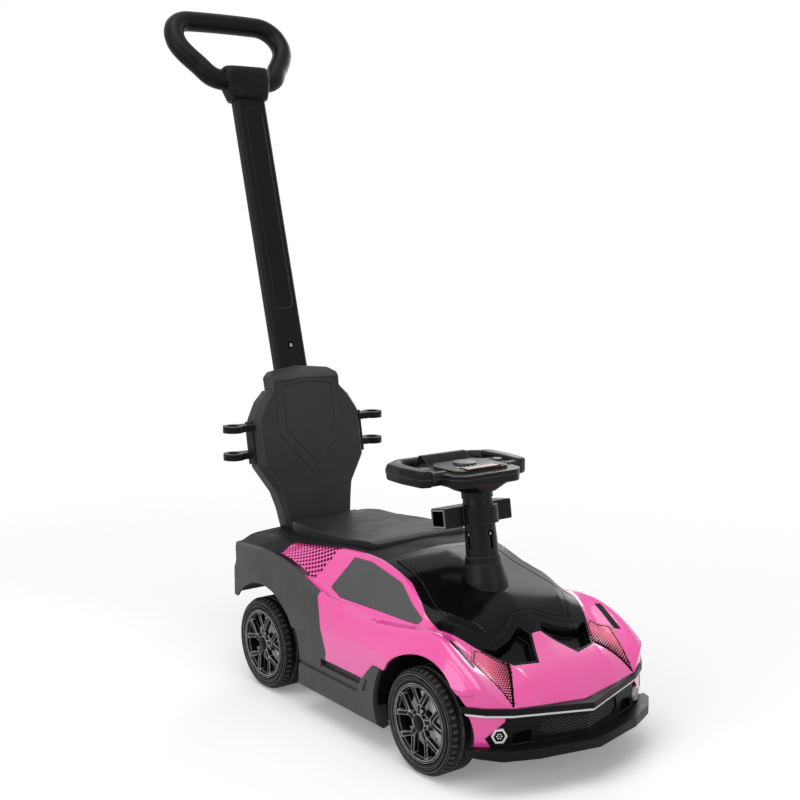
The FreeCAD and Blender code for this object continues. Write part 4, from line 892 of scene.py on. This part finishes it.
for side_name, side in sides:
    lip = flat_ring(square_outline(0.0120, 0.0110), square_outline(0.0104, 0.0089), lip_thick)
    mouth = spot((side * socket_reach, socket_back, socket_height), side * math.pi / 2)
    plain_piece("socket_lip_" + side_name, lip, column_spot @ mouth, lip_grey, "body")

# Steering wheel: two satin black shells screwed together on a steel shaft, with three press buttons.
# A printed display and small dummy keys are set in the pad.
dress(["steering_wheel_lower", "steering_wheel_upper"], column_black)
dress(["steering_shaft"], steel_bright)
# The buttons' edges carry a painted highlight.
button_grey = plastic_finish(
    "button_grey", (0.030, 0.030, 0.031), (0.042, 0.042, 0.043), rough=(0.32, 0.44), grain=1000.0,
    depth=0.00005, painted_edge_tone=(0.12, 0.12, 0.12))
dress(["horn_button", "left_button", "right_button"], button_grey)
display_film = plastic_finish(
    "display_film", (0.20, 0.11, 0.10), (0.52, 0.27, 0.24), rough=(0.2, 0.3), grain=300.0, depth=0.00002,
    coat=0.5)
key_gold = plastic_finish(
    "key_gold", (0.52, 0.36, 0.16), (0.66, 0.48, 0.24), rough=(0.2, 0.3), grain=900.0, depth=0.00002)
key_pale = plastic_finish(
    "key_pale", (0.50, 0.50, 0.50), (0.62, 0.62, 0.62), rough=(0.3, 0.4), grain=900.0, depth=0.00002)
hub_y = -0.19981
hub_height = 0.296547
pad_rise = 0.023
pad_top = hub_height + pad_rise
display_front = 0.0078


def bevelled_plate(wide, deep, thick, soften):
    """Flat plate with softened edges, centred on the origin and standing on z = 0."""
    shape = bmesh.new()
    bmesh.ops.create_cube(shape, size=1.0)
    shape.transform(shift(0.0, 0.0, thick / 2) @ Matrix.Diagonal((wide, deep, thick, 1.0)))
    bmesh.ops.bevel(shape, geom=shape.edges[:], offset=soften, segments=2, affect="EDGES", profile=0.5)
    return shape


display_spot = shift(0.0, hub_y - display_front, pad_top)
bezel = bevelled_plate(wide=0.052, deep=0.0155, thick=0.0009, soften=0.0004)
plain_piece("display_bezel", bezel, display_spot, black_and_painted_hole_shade, "steering")
screen = bevelled_plate(wide=0.048, deep=0.0115, thick=0.0013, soften=0.0003)
plain_piece("display_screen", screen, display_spot, display_film, "steering")


def key_row_tree():
    """Tree that sets square keys in a straight row along X."""
    made, size, outlet = sized_tree("key_row", (
        ("Count", "Int"), ("Spacing", "Float"), ("Key", "Vector"), ("Material", "Material")))
    last = calculate(made, "SUBTRACT", size["Count"], 1.0)
    length = calculate(made, "MULTIPLY", last, size["Spacing"])
    first = add_node(made, "ShaderNodeCombineXYZ", {"X": calculate(made, "MULTIPLY", length, -0.5)})
    step = add_node(made, "ShaderNodeCombineXYZ", {"X": size["Spacing"]})
    places = {"Count": size["Count"], "Start Location": first, "Offset": step}
    row = add_node(made, "GeometryNodeMeshLine", places, mode="OFFSET")
    key = add_node(made, "GeometryNodeMeshCube", {"Size": size["Key"]})
    keys = add_node(made, "GeometryNodeInstanceOnPoints", {"Points": row, "Instance": key})
    finish_tree(made, size, outlet, keys)
    return made


key_row = key_row_tree()
small_key = (0.0018, 0.0026, 0.0018)
for row_name, count, spacing, key_size, x, y, finish in (
        ("keys_behind_display", 9, 0.0062, (0.0030, 0.0022, 0.0016), 0.0, 0.0030, key_pale),
        ("keys_left", 3, 0.0034, small_key, 0.0325, -0.0080, key_gold),
        ("keys_right", 3, 0.0034, small_key, -0.0325, -0.0080, key_gold)):
    grown_piece(row_name, key_row, {"Count": count, "Spacing": spacing, "Key": key_size, "Material": finish},
                "steering", move=shift(x, hub_y + y, pad_top))

# Steering linkage and rear axle: black nylon knuckles and tie rod, pinned together, and a plain steel axle.
# They are hidden between the tray and the liners.
dress(["knuckle_left", "knuckle_right", "tie_rod"], chassis_black)
dress(["rear_axle"], steel_bright)

# Wheels: blow-moulded black tyres on satin black double-spoked rims, silver discs behind.
# Five nuts sit on each rim's spokes round the hub cap.
# Tyres and rims carry a painted highlight along their edges, the rims' almost white; the discs turn darker
# there.
tyre_black = plastic_finish(
    "tyre_black", (0.0050, 0.0050, 0.0050), (0.0080, 0.0080, 0.0078), rough=(0.5, 0.62), grain=1100.0,
    depth=0.00006, painted_edge_tone=(0.26, 0.26, 0.255), edge_radius=0.0015, painted_edge_span=(0.88, 0.995), specular=0.08)
rim_black = plastic_finish(
    "rim_black", (0.0035, 0.0035, 0.0037), (0.0055, 0.0055, 0.0058), rough=(0.26, 0.36), grain=900.0,
    depth=0.00002, painted_edge_tone=(0.85, 0.85, 0.83), edge_radius=0.0019, painted_edge_span=(0.88, 0.995), specular=0.07)
disc_silver = plastic_finish(
    "disc_silver", (0.66, 0.69, 0.73), (0.86, 0.88, 0.91), rough=(0.3, 0.45), grain=260.0, depth=0.00005,
    painted_edge_tone=(0.15, 0.15, 0.16))
tyre_inside = 0.103
rim_reach = 0.043
spoke_face = tyre_inside + rim_reach
for corner in ("front_left", "front_right", "rear_left", "rear_right"):
    dress(["tyre_" + corner], tyre_black)
    dress(["rim_" + corner], rim_black)
    dress(["disc_" + corner], disc_silver)
    low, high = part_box("tyre_" + corner)
    side = 1.0 if low.x > 0 else -1.0
    wheel_middle = (side * spoke_face, (low.y + high.y) / 2, (low.z + high.z) / 2)
    grown_piece("wheel_nuts_" + corner, stud_ring, {
        "Count": 5, "Ring Radius": 0.0155, "Stud Radius": 0.0019, "Stud Height": 0.0022, "Sides": 6,
        "Material": rim_black}, "wheel_" + corner, move=spot(wheel_middle, side * math.pi / 2))
